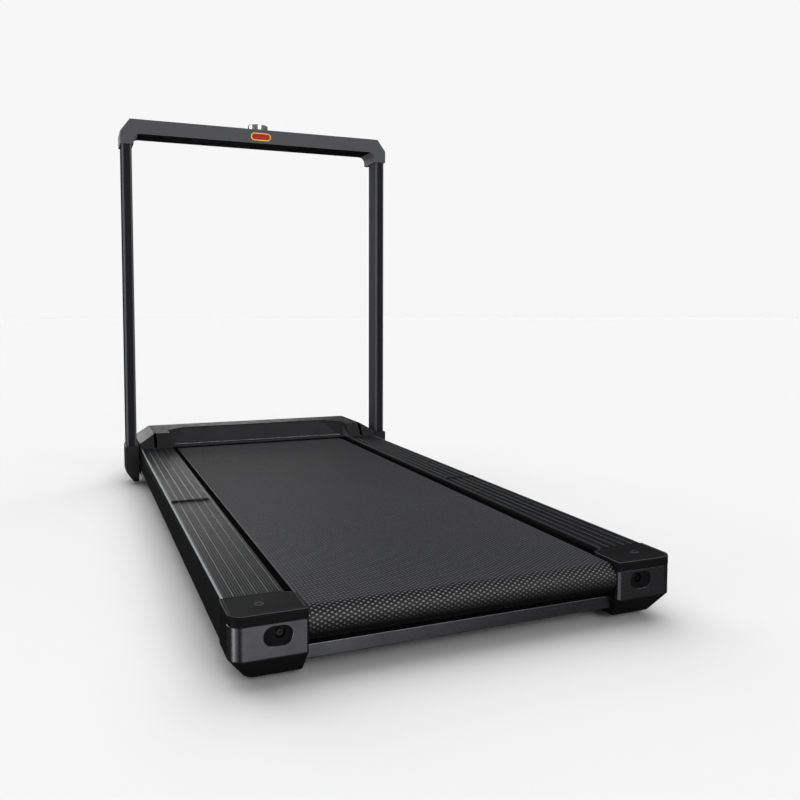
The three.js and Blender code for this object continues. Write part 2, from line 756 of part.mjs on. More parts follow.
// A floor plate with a cradle for the motor and, for each transport wheel, a well with two lugs and
// the axle pressed into them.
function basePan() {
  let body = prismZ(panOutline, PAN_LOW, PAN_HIGH);
  for (const x of [-WHEEL_X, WHEEL_X]) {
    const reach = WHEEL_RADIUS + 3;
    const low = x - WELL_HALF;
    const high = x + WELL_HALF;
    body = cut(body, block(low, high, WHEEL_Y - reach, WHEEL_Y + reach, PAN_LOW - 1, PAN_HIGH + 1));
    for (const lug of [low - 1.5, high + 1.5]) {
      const ear = block(lug - 1.5, lug + 1.5, WHEEL_Y - 11, WHEEL_Y + 11, WHEEL_Z - 9, PAN_HIGH);
      body = join(body, ear);
    }
    body = join(body, roundX(WHEEL_AXLE, low - 2, high + 2, WHEEL_Y, WHEEL_Z, 14));
  }
  const cradle = cut(
    block(
      MOTOR_LOW_X + CRADLE_INSET,
      MOTOR_HIGH_X - CRADLE_INSET,
      MOTOR_Y - CRADLE_HALF,
      MOTOR_Y + CRADLE_HALF,
      PAN_HIGH - 1,
      MOTOR_Z - CRADLE_DROP,
    ),
    roundX(MOTOR_RADIUS + GAP, MOTOR_LOW_X, MOTOR_HIGH_X, MOTOR_Y, MOTOR_Z, 36),
  );
  return join(body, cradle);
}
add('base_pan', basePan(), blackPlastic);
addPair('front_foot', pad(200, 246, 1222, 1262, PAN_LOW - GAP), rubber);

// ---- Drive --------------------------------------------------------------------------------------
const motorHousing = cut(
  roundX(MOTOR_RADIUS, MOTOR_LOW_X, MOTOR_HIGH_X, MOTOR_Y, MOTOR_Z, 36),
  roundX(MOTOR_BORE, MOTOR_LOW_X + 5, MOTOR_HIGH_X + 1, MOTOR_Y, MOTOR_Z, 36),
  roundX(MOTOR_SHAFT_HOLE, MOTOR_LOW_X - 1, MOTOR_LOW_X + 6, MOTOR_Y, MOTOR_Z, 20),
);
add('motor_housing', motorHousing, blackPlastic);
const motorEndBell = cut(
  join(
    roundX(MOTOR_RADIUS, MOTOR_HIGH_X + GAP, MOTOR_HIGH_X + 5, MOTOR_Y, MOTOR_Z, 36),
    roundX(MOTOR_BORE - GAP, MOTOR_HIGH_X - 4, MOTOR_HIGH_X + 1, MOTOR_Y, MOTOR_Z, 36),
  ),
  roundX(MOTOR_SHAFT_HOLE, MOTOR_HIGH_X - 5, MOTOR_HIGH_X + 6, MOTOR_Y, MOTOR_Z, 20),
);
add('motor_end_bell', motorEndBell, castMetal);
const motorRotor = join(
  roundX(ROTOR_RADIUS, MOTOR_LOW_X + 12, MOTOR_HIGH_X - 12, MOTOR_Y, MOTOR_Z, 28),
  roundX(SHAFT_RADIUS, MOTOR_LOW_X - 2, PULLEY_X + PULLEY_WIDTH / 2 + 1, MOTOR_Y, MOTOR_Z, 20),
);
add('motor_rotor', motorRotor, bareSteel);

function pulley(radius, bore, y, z) {
  const half = PULLEY_WIDTH / 2;
  const flange = 1.6;
  const profile = [
    [bore, -half],
    [radius + 2, -half],
    [radius + 2, -half + flange],
    [radius, -half + flange],
    [radius, half - flange],
    [radius + 2, half - flange],
    [radius + 2, half],
    [bore, half],
    [bore, -half],
  ].map(([r, along]) => new THREE.Vector2(r, along));
  return new THREE.LatheGeometry(profile, 32).rotateZ(-Math.PI / 2).translate(PULLEY_X, y, z);
}
const motorPulley = pulley(MOTOR_PULLEY_RADIUS, SHAFT_RADIUS + GAP, MOTOR_Y, MOTOR_Z);
add('motor_pulley', motorPulley, castMetal);
const rollerPulley = pulley(ROLLER_PULLEY_RADIUS, AXLE_RADIUS + 2 * GAP, FRONT_ROLLER_Y, ROLLER_Z);
const pulleyHub = roundX(
  PULLEY_HUB_RADIUS,
  ROLLER_HALF + GAP,
  PULLEY_X - PULLEY_WIDTH / 2 + 1,
  FRONT_ROLLER_Y,
  ROLLER_Z,
);
const hubBore = roundX(
  AXLE_RADIUS + 2 * GAP,
  ROLLER_HALF - 1,
  PULLEY_X + PULLEY_WIDTH,
  FRONT_ROLLER_Y,
  ROLLER_Z,
);
add('roller_pulley', cut(join(rollerPulley, pulleyHub), hubBore), castMetal);

// The drive belt: an open loop round both pulleys, tangent to each.
function beltLoop(grow) {
  const big = ROLLER_PULLEY_RADIUS + grow;
  const small = MOTOR_PULLEY_RADIUS + grow;
  const reach = Math.hypot(MOTOR_Y - FRONT_ROLLER_Y, MOTOR_Z - ROLLER_Z);
  const tilt = THREE.MathUtils.radToDeg(Math.atan2(MOTOR_Z - ROLLER_Z, MOTOR_Y - FRONT_ROLLER_Y));
  const wrap = THREE.MathUtils.radToDeg(Math.acos((big - small) / reach));
  return [
    ...arc(FRONT_ROLLER_Y, ROLLER_Z, big, tilt + wrap, tilt + 360 - wrap, 20),
    ...arc(MOTOR_Y, MOTOR_Z, small, tilt - wrap, tilt + wrap, 12),
  ];
}
const beltHalfWidth = PULLEY_WIDTH / 2 - 2;
const driveBelt = cut(
  prismX(beltLoop(GAP + DRIVE_BELT_THICK), PULLEY_X - beltHalfWidth, PULLEY_X + beltHalfWidth),
  prismX(beltLoop(GAP), PULLEY_X - 20, PULLEY_X + 20),
);
add('drive_belt', driveBelt, rubber);

const controllerBox = cut(
  block(-250, -60, 1298, 1366, PAN_HIGH + GAP, 76),
  block(-247, -63, 1301, 1363, PAN_HIGH + 4, 77),
);
add('controller_box', controllerBox, castMetal);

// Inlet module: a socket with three contact pins, and beside it the seat of a rocker switch.
function powerInlet() {
  const housing = block(
    MODULE_LOW_X,
    MODULE_HIGH_X,
    LENGTH - 20,
    LENGTH - 0.2,
    PORT_Z - MODULE_HALF_Z,
    PORT_Z + MODULE_HALF_Z,
  );
  let body = cut(
    housing,
    block(INLET_X - 12, INLET_X + 12, LENGTH - 17, LENGTH + 1, PORT_Z - 8, PORT_Z + 8),
    block(SWITCH_X - 9, SWITCH_X + 9, LENGTH - 11, LENGTH + 1, PORT_Z - 6, PORT_Z + 6),
  );
  for (const [x, z] of [[-7, 1.5], [0, -2.5], [7, 1.5]]) {
    const pinX = INLET_X + x;
    const pinZ = PORT_Z + z;
    body = join(body, block(pinX - 1, pinX + 1, LENGTH - 18, LENGTH - 5, pinZ - 2, pinZ + 2));
  }
  return body;
}
add('power_inlet', powerInlet(), blackPlastic);

const rocker = prismZ(
  [
    [SWITCH_X - 7, ROCKER_PIVOT + 5.2],
    [SWITCH_X, ROCKER_PIVOT + 3.6],
    [SWITCH_X + 7, ROCKER_PIVOT + 2.6],
    [SWITCH_X + 6.6, ROCKER_PIVOT + 0.2],
    [SWITCH_X + 3, ROCKER_PIVOT - 3],
    [SWITCH_X - 3, ROCKER_PIVOT - 3],
    [SWITCH_X - 6.6, ROCKER_PIVOT + 0.2],
  ],
  PORT_Z - 5.4,
  PORT_Z + 5.4,
);
add('power_switch', rocker, redPlastic);

// ---- Transport wheels ---------------------------------------------------------------------------
const wheelProfile = [
  [WHEEL_BORE, -WHEEL_HALF],
  [WHEEL_RADIUS - 2, -WHEEL_HALF],
  [WHEEL_RADIUS, -WHEEL_HALF + 2],
  [WHEEL_RADIUS, WHEEL_HALF - 2],
  [WHEEL_RADIUS - 2, WHEEL_HALF],
  [WHEEL_BORE, WHEEL_HALF],
  [WHEEL_BORE, -WHEEL_HALF],
].map(([r, along]) => new THREE.Vector2(r, along));
const wheel = new THREE.LatheGeometry(wheelProfile, 28)
  .rotateZ(-Math.PI / 2)
  .translate(WHEEL_X, WHEEL_Y, WHEEL_Z);
addPair('transport_wheel', wheel, rubber);

// ---- Handrail -----------------------------------------------------------------------------------
const pivotPin = join(
  roundX(PIVOT_RADIUS + 4, FRAME_OUTER - 9, FRAME_OUTER - FRAME_WALL - GAP, PIVOT_Y, PIVOT_Z, 24),
  roundX(PIVOT_RADIUS, FRAME_OUTER - 8, TUBE_OUTER - 4, PIVOT_Y, PIVOT_Z, 24),
);
addPair('handrail_pivot', pivotPin, bareSteel);

// Moulded arm that turns on the pivot and grips the foot of the tube.
const tubeInner = TUBE_OUTER - TUBE_WIDTH;
const tubeFrontY = TUBE_REAR_Y + TUBE_DEPTH;

function tubeSpace(z1, z2) {
  return block(tubeInner - GAP, TUBE_OUTER + GAP, TUBE_REAR_Y - GAP, tubeFrontY + GAP, z1, z2);
}

function handrailArm() {
  const frontView = [
    [ARM_INNER, 2],
    [ARM_CHAMFER_X, 2],
    [ARM_OUTER, ARM_CHAMFER_Z],
    [ARM_OUTER, SOCKET_TOP - 2],
    [ARM_OUTER - 2, SOCKET_TOP],
    [ARM_INNER, SOCKET_TOP],
  ];
  const halfAngle = THREE.MathUtils.radToDeg(Math.acos((PIVOT_Y - ARM_REAR_Y) / ARM_TIP_RADIUS));
  const sideView = [
    [ARM_REAR_Y, SOCKET_TOP + 1],
    ...arc(PIVOT_Y, PIVOT_Z, ARM_TIP_RADIUS, 180 + halfAngle, 360 - halfAngle, 10),
    [ARM_FRONT_Y, SOCKET_TOP + 1],
  ];
  const body = overlap(
    prismY(frontView, ARM_REAR_Y - 1, ARM_FRONT_Y + 1),
    prismX(sideView, ARM_INNER - 1, ARM_OUTER + 1),
  );
  const bore = roundX(PIVOT_RADIUS + GAP, ARM_INNER - 1, TUBE_OUTER - 3, PIVOT_Y, PIVOT_Z, 24);
  return cut(body, tubeSpace(TUBE_BOTTOM - GAP, SOCKET_TOP + 1), bore);
}
addPair('handrail_arm', handrailArm(), blackPlastic);

// Rectangular tube with softened corners, outline seen from above.
function tubeOutline(margin) {
  const corner = 4 - margin;
  const [x1, x2] = [tubeInner + margin, TUBE_OUTER - margin];
  const [y1, y2] = [TUBE_REAR_Y + margin, tubeFrontY - margin];
  return [
    ...arc(x1 + corner, y1 + corner, corner, 180, 270, 2),
    ...arc(x2 - corner, y1 + corner, corner, 270, 360, 2),
    ...arc(x2 - corner, y2 - corner, corner, 0, 90, 2),
    ...arc(x1 + corner, y2 - corner, corner, 90, 180, 2),
  ];
}
const handrailTube = cut(
  prismZ(tubeOutline(0), TUBE_BOTTOM, TUBE_TOP),
  prismZ(tubeOutline(TUBE_WALL), TUBE_BOTTOM - 1, TUBE_TOP + 1),
);
addPair('handrail_tube', handrailTube, tubePaint);

// Hollow crossbar with a sleeve at each end that grips a tube.
function crossbar() {
  const half = [
    [BAR_CHAMFER_X, BAR_TOP],
    [ARM_OUTER, BAR_CHAMFER_Z],
    [ARM_OUTER, SLEEVE_BOTTOM],
    [SLEEVE_INNER, SLEEVE_BOTTOM],
    ...arc(SLEEVE_INNER - BAR_CORNER, BAR_BOTTOM - BAR_CORNER, BAR_CORNER, 0, 90, 5),
  ];
  const otherHalf = half.map(([x, z]) => [-x, z]).reverse();
  const body = prismY([...half, ...otherHalf], BAR_REAR_Y, BAR_FRONT_Y);
  const hollow = block(
    -BAR_CHAMFER_X,
    BAR_CHAMFER_X,
    BAR_REAR_Y + BAR_WALL,
    BAR_FRONT_Y - BAR_WALL,
    BAR_BOTTOM - 1,
    BAR_TOP - BAR_WALL,
  );
  const rightSocket = tubeSpace(SLEEVE_BOTTOM - 1, TUBE_TOP + GAP);
  const leftSocket = mirrored(rightSocket);
  const knobHole = roundZ(KNOB_HOLE_RADIUS, 0, KNOB_Y, BAR_TOP - 5, BAR_TOP + 1, 20);
  const keyOutline = stadium(KEY_HALF - KEY_RADIUS, KEY_RADIUS + GAP, KEY_Z);
  const keyHole = prismY(keyOutline, BAR_REAR_Y - 1, BAR_REAR_Y + KEY_DEPTH);
  return cut(body, hollow, rightSocket, leftSocket, knobHole, keyHole);
}

// A long round outline centred over x = 0.
function stadium(half, radius, z) {
  return [...arc(half, z, radius, -90, 90, 8), ...arc(-half, z, radius, 90, 270, 8)];
}
add('handrail_crossbar', crossbar(), coverPlastic);
add(
  'crossbar_underside',
  block(
    -UNDERSIDE_HALF,
    UNDERSIDE_HALF,
    BAR_REAR_Y + BAR_WALL + GAP,
    BAR_FRONT_Y - BAR_WALL - GAP,
    BAR_BOTTOM,
    BAR_BOTTOM + 2.4,
  ),
  blackPlastic,
);

// ---- Controls on the crossbar -------------------------------------------------------------------
const knobShaft = join(
  roundZ(KNOB_SHAFT_RADIUS, 0, KNOB_Y, BAR_TOP - 18, SHAFT_TOP, 16),
  roundZ(KNOB_SHAFT_RADIUS * 2, 0, KNOB_Y, BAR_TOP - 16, BAR_TOP - 8, 20),
);
add('knob_shaft', knobShaft, bareSteel);
// A shell with a hub on the shaft, open underneath.
const knobTop = KNOB_BASE + KNOB_HEIGHT;
const hubBoreRadius = KNOB_SHAFT_RADIUS + GAP;
const knobProfile = [
  [hubBoreRadius, KNOB_BASE],
  [KNOB_HOLE_RADIUS, KNOB_BASE],
  [KNOB_HOLE_RADIUS, knobTop - KNOB_WALL],
  [KNOB_RADIUS - KNOB_WALL, knobTop - KNOB_WALL],
  [KNOB_RADIUS - KNOB_WALL, KNOB_BASE],
  [KNOB_RADIUS - 1, KNOB_BASE],
  [KNOB_RADIUS, KNOB_BASE + 1],
  [KNOB_RADIUS, knobTop - 2],
  [KNOB_RADIUS - 2, knobTop],
  [0, knobTop],
  [0, SHAFT_TOP + GAP],
  [hubBoreRadius, SHAFT_TOP + GAP],
  [hubBoreRadius, KNOB_BASE],
].map(([r, z]) => new THREE.Vector2(r, z));
const knob = new THREE.LatheGeometry(knobProfile, 40)
  .rotateX(Math.PI / 2)
  .translate(0, KNOB_Y, 0);
add('control_knob', knob, chrome);

const keyInner = KEY_RADIUS - KEY_RIM;
const keySocket = cut(
  prismY(stadium(KEY_HALF - KEY_RADIUS, KEY_RADIUS, KEY_Z), BAR_REAR_Y - 1.5, BAR_REAR_Y + 8),
  prismY(stadium(KEY_HALF - KEY_RADIUS, keyInner, KEY_Z), BAR_REAR_Y - 2, BAR_REAR_Y + KEY_DEPTH),
);
add('safety_key_socket', keySocket, yellowPlastic);
const safetyKey = prismY(
  stadium(KEY_HALF - KEY_RADIUS, keyInner - GAP, KEY_Z),
  BAR_REAR_Y - 2.5,
  BAR_REAR_Y + KEY_DEPTH - GAP,
);
add('safety_key', safetyKey, redPlastic);

export default treadmill;
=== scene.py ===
"""A folding treadmill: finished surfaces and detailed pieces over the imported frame."""

import json
from math import cos, hypot, pi, radians, sin

import bmesh
import bpy
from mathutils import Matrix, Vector

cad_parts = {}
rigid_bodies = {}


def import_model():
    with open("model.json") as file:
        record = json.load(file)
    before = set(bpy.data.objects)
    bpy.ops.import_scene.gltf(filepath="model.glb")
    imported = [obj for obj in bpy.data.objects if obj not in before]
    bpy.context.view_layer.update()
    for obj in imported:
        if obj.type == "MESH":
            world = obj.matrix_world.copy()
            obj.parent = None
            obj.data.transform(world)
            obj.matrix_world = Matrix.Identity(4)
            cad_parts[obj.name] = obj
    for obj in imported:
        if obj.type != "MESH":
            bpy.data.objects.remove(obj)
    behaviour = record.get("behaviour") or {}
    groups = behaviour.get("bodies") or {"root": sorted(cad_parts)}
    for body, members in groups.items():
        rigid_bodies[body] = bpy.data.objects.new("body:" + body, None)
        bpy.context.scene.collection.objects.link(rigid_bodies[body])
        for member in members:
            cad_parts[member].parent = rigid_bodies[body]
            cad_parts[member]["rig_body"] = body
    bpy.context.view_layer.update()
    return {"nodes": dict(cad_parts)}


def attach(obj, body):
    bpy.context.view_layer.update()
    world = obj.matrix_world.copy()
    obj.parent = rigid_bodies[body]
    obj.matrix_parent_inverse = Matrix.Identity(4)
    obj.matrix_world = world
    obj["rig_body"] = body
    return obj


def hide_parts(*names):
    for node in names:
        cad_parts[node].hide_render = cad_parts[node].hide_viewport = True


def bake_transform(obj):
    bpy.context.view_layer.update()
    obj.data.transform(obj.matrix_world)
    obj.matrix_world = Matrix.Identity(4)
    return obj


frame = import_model()

MM = 0.001
REAR = -0.695  # the rear face of the end caps, in metres
SIDES = {"right": 1, "left": -1}
scene = bpy.context.scene

# ---- Dimensions in millimetres; y runs forward from the rear face --------------------------------
COVER_INNER = 246
DECK_HALF = 330
TOP = 93
FOLD_Y = 590
BELT_HALF = 231
BELT_OUTER = 22
BELT_INNER = 20.2
ROLLER_Z = 65.5
REAR_ROLLER_Y = 26
FRONT_ROLLER_Y = 1262
DOT_PITCH_X = 10
DOT_PITCH_Y = 6.1
DOT_HEIGHT = 0.62
DOT_EDGE = 229.6
DOT_FADE = 1.2
DOT_FIELD = 227.5
DOT_SINK = 0.25
SMOOTH_SINK = 0.1
BELT_EDGE_SINK = 0.6
WRAP_SHADE_FULL_Z, WRAP_SHADE_END_Z = 56, 80
BELT_ROW = DOT_PITCH_Y / 4
BELT_COLUMN = DOT_PITCH_X / 4
BEND_START = 94 * DOT_PITCH_Y
BEND_END = 99 * DOT_PITCH_Y

RIDGES = (311, 296, 281, 266, 251)
RIDGE_PITCH = 15
RIDGE_HALF = 1.1
RIDGE_RISE = 0.95
RIDGE_HIGHLIGHT_IN, RIDGE_HIGHLIGHT_OUT = 0.5, 1.0
RIDGE_HIGHLIGHT_RISE = 0.15
RIM_WIDTH = 5.3
RIM_DROP = 1.6
TREAD_Z = 92.5

CAP_INNER = 232
CAP_DEPTH = 66
CAP_CORNER = 18
CAP_RIM_Z = 92
PLATE_LOW = 37
PLATE_HIGH = 79
PLATE_INSET = 1.9
PLATE_END_Y = 20.3
PLATE_RETURN = 9
PLATE_CLEAR = 0.2
PLATE_THICK = 1.6
PLATE_GAP = 0.3
PLATE_LIP = 0.35
INNER_CHAMFER = 2.9
RECESS_X = 271
RECESS_Z = 63.2
RECESS_HALF = 6
BOLT_X = 268
BOLT_Z = 65.2
SOCKET_REACH = 2.3
PLUG_X, PLUG_Y = 287, 33
SHOE_INNER = 235
SHOE_OUTER = 309
SHOE_REAR_Y = 18.6


def at(x, y, z):
    """A point given in millimetres from the rear face, as metres in the shared frame."""
    return (x * MM, y * MM + REAR, z * MM)


# ---- Materials -----------------------------------------------------------------------------------
FLAT_FACE = 0.93  # the least share of a normal that points straight out of a flat side
CORNER_FACE = 0.35  # the least share that points sideways on a corner flat


class Graph:
    """Adds nodes to one material's tree."""

    def __init__(self, name, material=None):
        self.material = material or bpy.data.materials.new(name)
        self.material.use_nodes = True
        self.tree = self.material.node_tree
        self.shader = self.tree.nodes["Principled BSDF"]
        self.place = self.add("ShaderNodeTexCoord").outputs["Object"]

    def add(self, kind, inputs=None, **settings):
        node = self.tree.nodes.new(kind)
        for key, value in settings.items():
            setattr(node, key, value)
        for key, value in (inputs or {}).items():
            self.feed(node.inputs[key], value)
        return node

    def feed(self, socket, value):
        if isinstance(value, bpy.types.NodeSocket):
            self.tree.links.new(value, socket)
        else:
            socket.default_value = value

    def noise(self, scale, detail=3, stretch=None):
        place = self.place
        if stretch:
            place = self.add("ShaderNodeMapping", {0: place, 3: stretch}).outputs[0]
        node = self.add("ShaderNodeTexNoise", {"Vector": place})
        self.feed(node.inputs["Scale"], scale)
        self.feed(node.inputs["Detail"], detail)
        return node.outputs["Fac"]

    def math(self, kind, *values, clamp=False):
        inputs = dict(enumerate(values))
        return self.add("ShaderNodeMath", inputs, operation=kind, use_clamp=clamp).outputs[0]

    def spread(self, value, low, high, start=0.3, end=0.7):
        node = self.add("ShaderNodeMapRange", {0: value, 1: start, 2: end, 3: low, 4: high})
        return node.outputs[0]

    def blend(self, factor, first, second):
        node = self.add("ShaderNodeMix", data_type="RGBA")
        self.feed(node.inputs[0], factor)
        self.feed(node.inputs[6], first)
        self.feed(node.inputs[7], second)
        return node.outputs[2]

    def edges(self, radius, gain):
        """Near 1 along sharp and rounded edges, 0 on flat ground."""
        soft = self.add("ShaderNodeBevel", {"Radius": radius}, samples=4).outputs[0]
        plain = self.add("ShaderNodeNewGeometry").outputs["Normal"]
        same = self.add("ShaderNodeVectorMath", {0: soft, 1: plain}, operation="DOT_PRODUCT")
        return self.math("MULTIPLY", self.math("SUBTRACT", 1.0, same.outputs["Value"]), gain, clamp=True)

    def bump(self, height, distance, under=None):
        node = self.add("ShaderNodeBump", {"Height": height})
        node.inputs["Distance"].default_value = distance
        if under is not None:
            self.feed(node.inputs["Normal"], under)
        return node.outputs[0]


def shade(colour, factor):
    return tuple(channel * factor for channel in colour[:3]) + (1.0,)


def surface(
    name, colour, rough, metal=0.0, grain=1400, depth=0.00005, tone=0.12, haze=0.07, wear=0.35,
    wear_tone=2.0, edge=0.0012, specular=0.5, brushed=None,
):
    """Moulded or painted surface: mottled tone, fine grain, uneven gloss and rubbed edges."""
    g = Graph(name)
    broad = g.noise(14, 4)
    mid = g.noise(160, 3)
    tint = g.blend(g.spread(broad, 0, 1), shade(colour, 1 - tone), shade(colour, 1 + tone))
    speck = g.spread(mid, 0.0, 1.0, 0.35, 0.75)
    tint = g.blend(g.math("MULTIPLY", speck, 0.3), tint, shade(colour, 1 + 1.6 * tone))
    roughness = g.spread(g.noise(45, 4), rough - haze, rough + haze)
    if wear:
        rub = g.math("MULTIPLY", g.edges(edge, 5.0), g.spread(g.noise(60, 4), 0.35, 1.0))
        rub = g.math("MULTIPLY", rub, wear, clamp=True)
        tint = g.blend(rub, tint, shade(colour, wear_tone))
        roughness = g.math("SUBTRACT", roughness, g.math("MULTIPLY", rub, 0.12))
    fine = g.noise(grain, 2, brushed)
    normal = g.bump(fine, depth)
    shader = g.shader
    g.feed(shader.inputs["Base Color"], tint)
    g.feed(shader.inputs["Roughness"], roughness)
    g.feed(shader.inputs["Normal"], normal)
    shader.inputs["Metallic"].default_value = metal
    shader.inputs["Specular IOR Level"].default_value = specular
    return g.material


def belt_rubber():
    """Dark rubber with a lattice of raised dots, whose height also comes from the mesh; painted highlights on
    the dot crests, painted shade in the troughs and low on the belt.
    """
    g = Graph("belt_rubber_dotted")
    along = g.add("ShaderNodeAttribute", attribute_name="belt_run").outputs["Fac"]
    place = g.add("ShaderNodeSeparateXYZ", {0: g.place})
    across = place.outputs[0]
    turn = 2 * pi
    wave_x = g.math("COSINE", g.math("MULTIPLY", across, turn / (DOT_PITCH_X * MM)))
    wave_y = g.math("COSINE", g.math("MULTIPLY", along, turn / DOT_PITCH_Y))
    crest = g.math("MULTIPLY", wave_x, wave_y)
    inside = g.math("LESS_THAN", g.math("ABSOLUTE", across), DOT_EDGE * MM)
    dot = g.math("MULTIPLY", g.spread(crest, 0.0, 1.0, -0.6, 0.85), inside)
    pit_shade = (0.0006, 0.0006, 0.0007, 1)
    ground = (0.004, 0.0041, 0.0045, 1)
    crest_highlight = (0.27, 0.273, 0.290, 1)
    dust = g.spread(g.noise(9, 5), 0.0, 1.0)
    # Painted shade darkens the troughs between the dots; a painted highlight lightens the dot crests.
    tint = g.blend(g.spread(crest, 0.0, 1.0, -0.75, 0.2), pit_shade, ground)
    tint = g.blend(g.spread(crest, 0.0, 1.0, 0.42, 0.95), tint, crest_highlight)
    tint = g.blend(g.math("MULTIPLY", dust, 0.06), tint, (0.03, 0.0297, 0.029, 1))
    # Painted shade: from 80 mm down to 56 mm above the floor the belt darkens towards the trough colour, over
    # the lower wrap and the lower strand.
    shaded = g.spread(place.outputs[2], 0.97, 0.0, WRAP_SHADE_FULL_Z * MM, WRAP_SHADE_END_Z * MM)
    g.feed(g.shader.inputs["Base Color"], g.blend(shaded, tint, pit_shade))
    rough = g.spread(crest, 0.6, 0.24, -0.1, 0.9)
    g.feed(g.shader.inputs["Roughness"], g.math("ADD", rough, g.spread(g.noise(240, 3), -0.05, 0.05)))
    fine = g.bump(g.noise(1700, 2), 0.00004)
    g.feed(g.shader.inputs["Normal"], g.bump(dot, 0.00028, under=fine))
    g.shader.inputs["Specular IOR Level"].default_value = 0.5
    return g.material


def ribbed_plastic():
    """Charcoal plastic whose raised ridges are worn smooth, with painted highlights on the ridge tops and on
    the outer bevel of the top.
    """
    material = surface(
        "cover_plastic_ribbed", (0.0095, 0.0097, 0.0103), 0.30, specular=0.05, tone=0.06, haze=0.03,
        wear=0.5, wear_tone=3.0, edge=0.0009,
    )
    g = Graph(material.name, material)
    place = g.add("ShaderNodeSeparateXYZ", {0: g.place})
    across = g.math("ABSOLUTE", place.outputs[0])
    pitch = 2 * pi / RIDGE_PITCH
    turn = g.math("MULTIPLY", g.math("SUBTRACT", across, RIDGES[-1] * MM), pitch / MM)
    outer, inner = cos(pitch * RIDGE_HIGHLIGHT_OUT), cos(pitch * RIDGE_HIGHLIGHT_IN)
    ridge = g.spread(g.math("COSINE", turn), 0.0, 1.0, outer, inner)
    top = g.math("GREATER_THAN", place.outputs[2], (TREAD_Z + RIDGE_HIGHLIGHT_RISE) * MM)
    # Painted highlight on the ridge tops; their lower roughness is real wear.
    ridge_rub_and_highlight = g.math("MULTIPLY", g.math("MULTIPLY", ridge, top), g.spread(g.noise(30, 4), 0.7, 1.0))
    colour, rough = g.shader.inputs["Base Color"], g.shader.inputs["Roughness"]
    tint, roughness = colour.links[0].from_socket, rough.links[0].from_socket
    # Painted highlight on the outer bevel along the top.
    rim = g.math("GREATER_THAN", across, (DECK_HALF - RIM_WIDTH) * MM)
    rim = g.math("MULTIPLY", rim, g.math("GREATER_THAN", place.outputs[2], (TOP - RIM_DROP) * MM))
    tint = g.blend(ridge_rub_and_highlight, tint, (0.060, 0.061, 0.065, 1))
    g.feed(colour, g.blend(rim, tint, (0.20, 0.203, 0.212, 1)))
    g.feed(rough, g.math("SUBTRACT", roughness, g.math("MULTIPLY", ridge_rub_and_highlight, 0.18)))
    return material


def cap_plastic():
    """Satin black plastic with a painted highlight on the steep faces along the edge of its top; its strong
    edge wear is partly real and partly painted highlight.
    """
    material = surface(
        "cap_plastic_satin", (0.0075, 0.0076, 0.0082), 0.30, specular=0.03, depth=0.00002, tone=0.08,
        haze=0.03, wear=1.0, wear_tone=4,
    )
    g = Graph(material.name, material)
    facing = g.add("ShaderNodeSeparateXYZ", {0: g.add("ShaderNodeNewGeometry").outputs["True Normal"]})
    height = g.add("ShaderNodeSeparateXYZ", {0: g.place}).outputs[2]
    # Painted highlight on the steep faces above the rim height of the top.
    raised = g.math("GREATER_THAN", height, CAP_RIM_Z * MM)
    rim = g.math("MULTIPLY", raised, g.math("LESS_THAN", facing.outputs[2], FLAT_FACE))
    rim = g.math("MULTIPLY", rim, g.spread(g.noise(40, 4), 0.6, 1.0))
    colour = g.shader.inputs["Base Color"]
    g.feed(colour, g.blend(rim, colour.links[0].from_socket, (0.10, 0.101, 0.107, 1)))
    return material


def tube_paint():
    """Dead black paint with painted highlights on the corner flats, painted light on the inner sides and
    painted shade on the outer sides.
    """
    material = surface(
        "tube_paint_satin", (0.020, 0.0202, 0.0215), 0.5, specular=0.0, grain=2200, depth=0.000004,
        tone=0.04, haze=0.02, wear=0.0,
    )
    g = Graph(material.name, material)
    facing = g.add("ShaderNodeSeparateXYZ", {0: g.add("ShaderNodeNewGeometry").outputs["Normal"]})
    across = g.add("ShaderNodeSeparateXYZ", {0: g.place}).outputs[0]
    outward = g.math("MULTIPLY", facing.outputs[0], g.math("SIGN", across))
    sideways = g.math("ABSOLUTE", facing.outputs[0])
    corner = g.math(
        "MULTIPLY", g.math("GREATER_THAN", sideways, CORNER_FACE), g.math("LESS_THAN", sideways, FLAT_FACE),
    )
    colour = g.shader.inputs["Base Color"]
    tint = colour.links[0].from_socket
    # Painted shade on the outer sides; painted light on the inner sides; painted highlights on the corner
    # flats.
    tint = g.blend(g.math("GREATER_THAN", outward, FLAT_FACE), tint, (0.012, 0.012, 0.0125, 1))
    tint = g.blend(g.math("LESS_THAN", outward, -FLAT_FACE), tint, (0.060, 0.0605, 0.064, 1))
    g.feed(colour, g.blend(corner, tint, (0.11, 0.111, 0.118, 1)))
    return material


def laminate_board():
    """Black film on the faces of the running board, darkened to near black as painted shade for the gap
    beside the belt; brown fibre on its sawn edges.
    """
    g = Graph("laminated_board")
    facing = g.add("ShaderNodeSeparateXYZ", {0: g.add("ShaderNodeNewGeometry").outputs["Normal"]})
    face = g.math("GREATER_THAN", g.math("ABSOLUTE", facing.outputs[2]), 0.7)
    fibre = g.blend(g.noise(900, 5, (1, 1, 3)), (0.012, 0.009, 0.006, 1), (0.03, 0.022, 0.015, 1))
    # The film's near-black tone is partly its own black and partly painted shade for the gap beside the belt.
    film = g.blend(g.noise(60, 4), (0.0015, 0.0015, 0.0016, 1), (0.003, 0.003, 0.0032, 1))
    g.feed(g.shader.inputs["Base Color"], g.blend(face, fibre, film))
    g.feed(g.shader.inputs["Roughness"], g.spread(g.noise(200, 3), 0.38, 0.62))
    g.feed(g.shader.inputs["Normal"], g.bump(g.noise(1500, 3), 0.00006))
    g.shader.inputs["Specular IOR Level"].default_value = 0.0
    return g.material


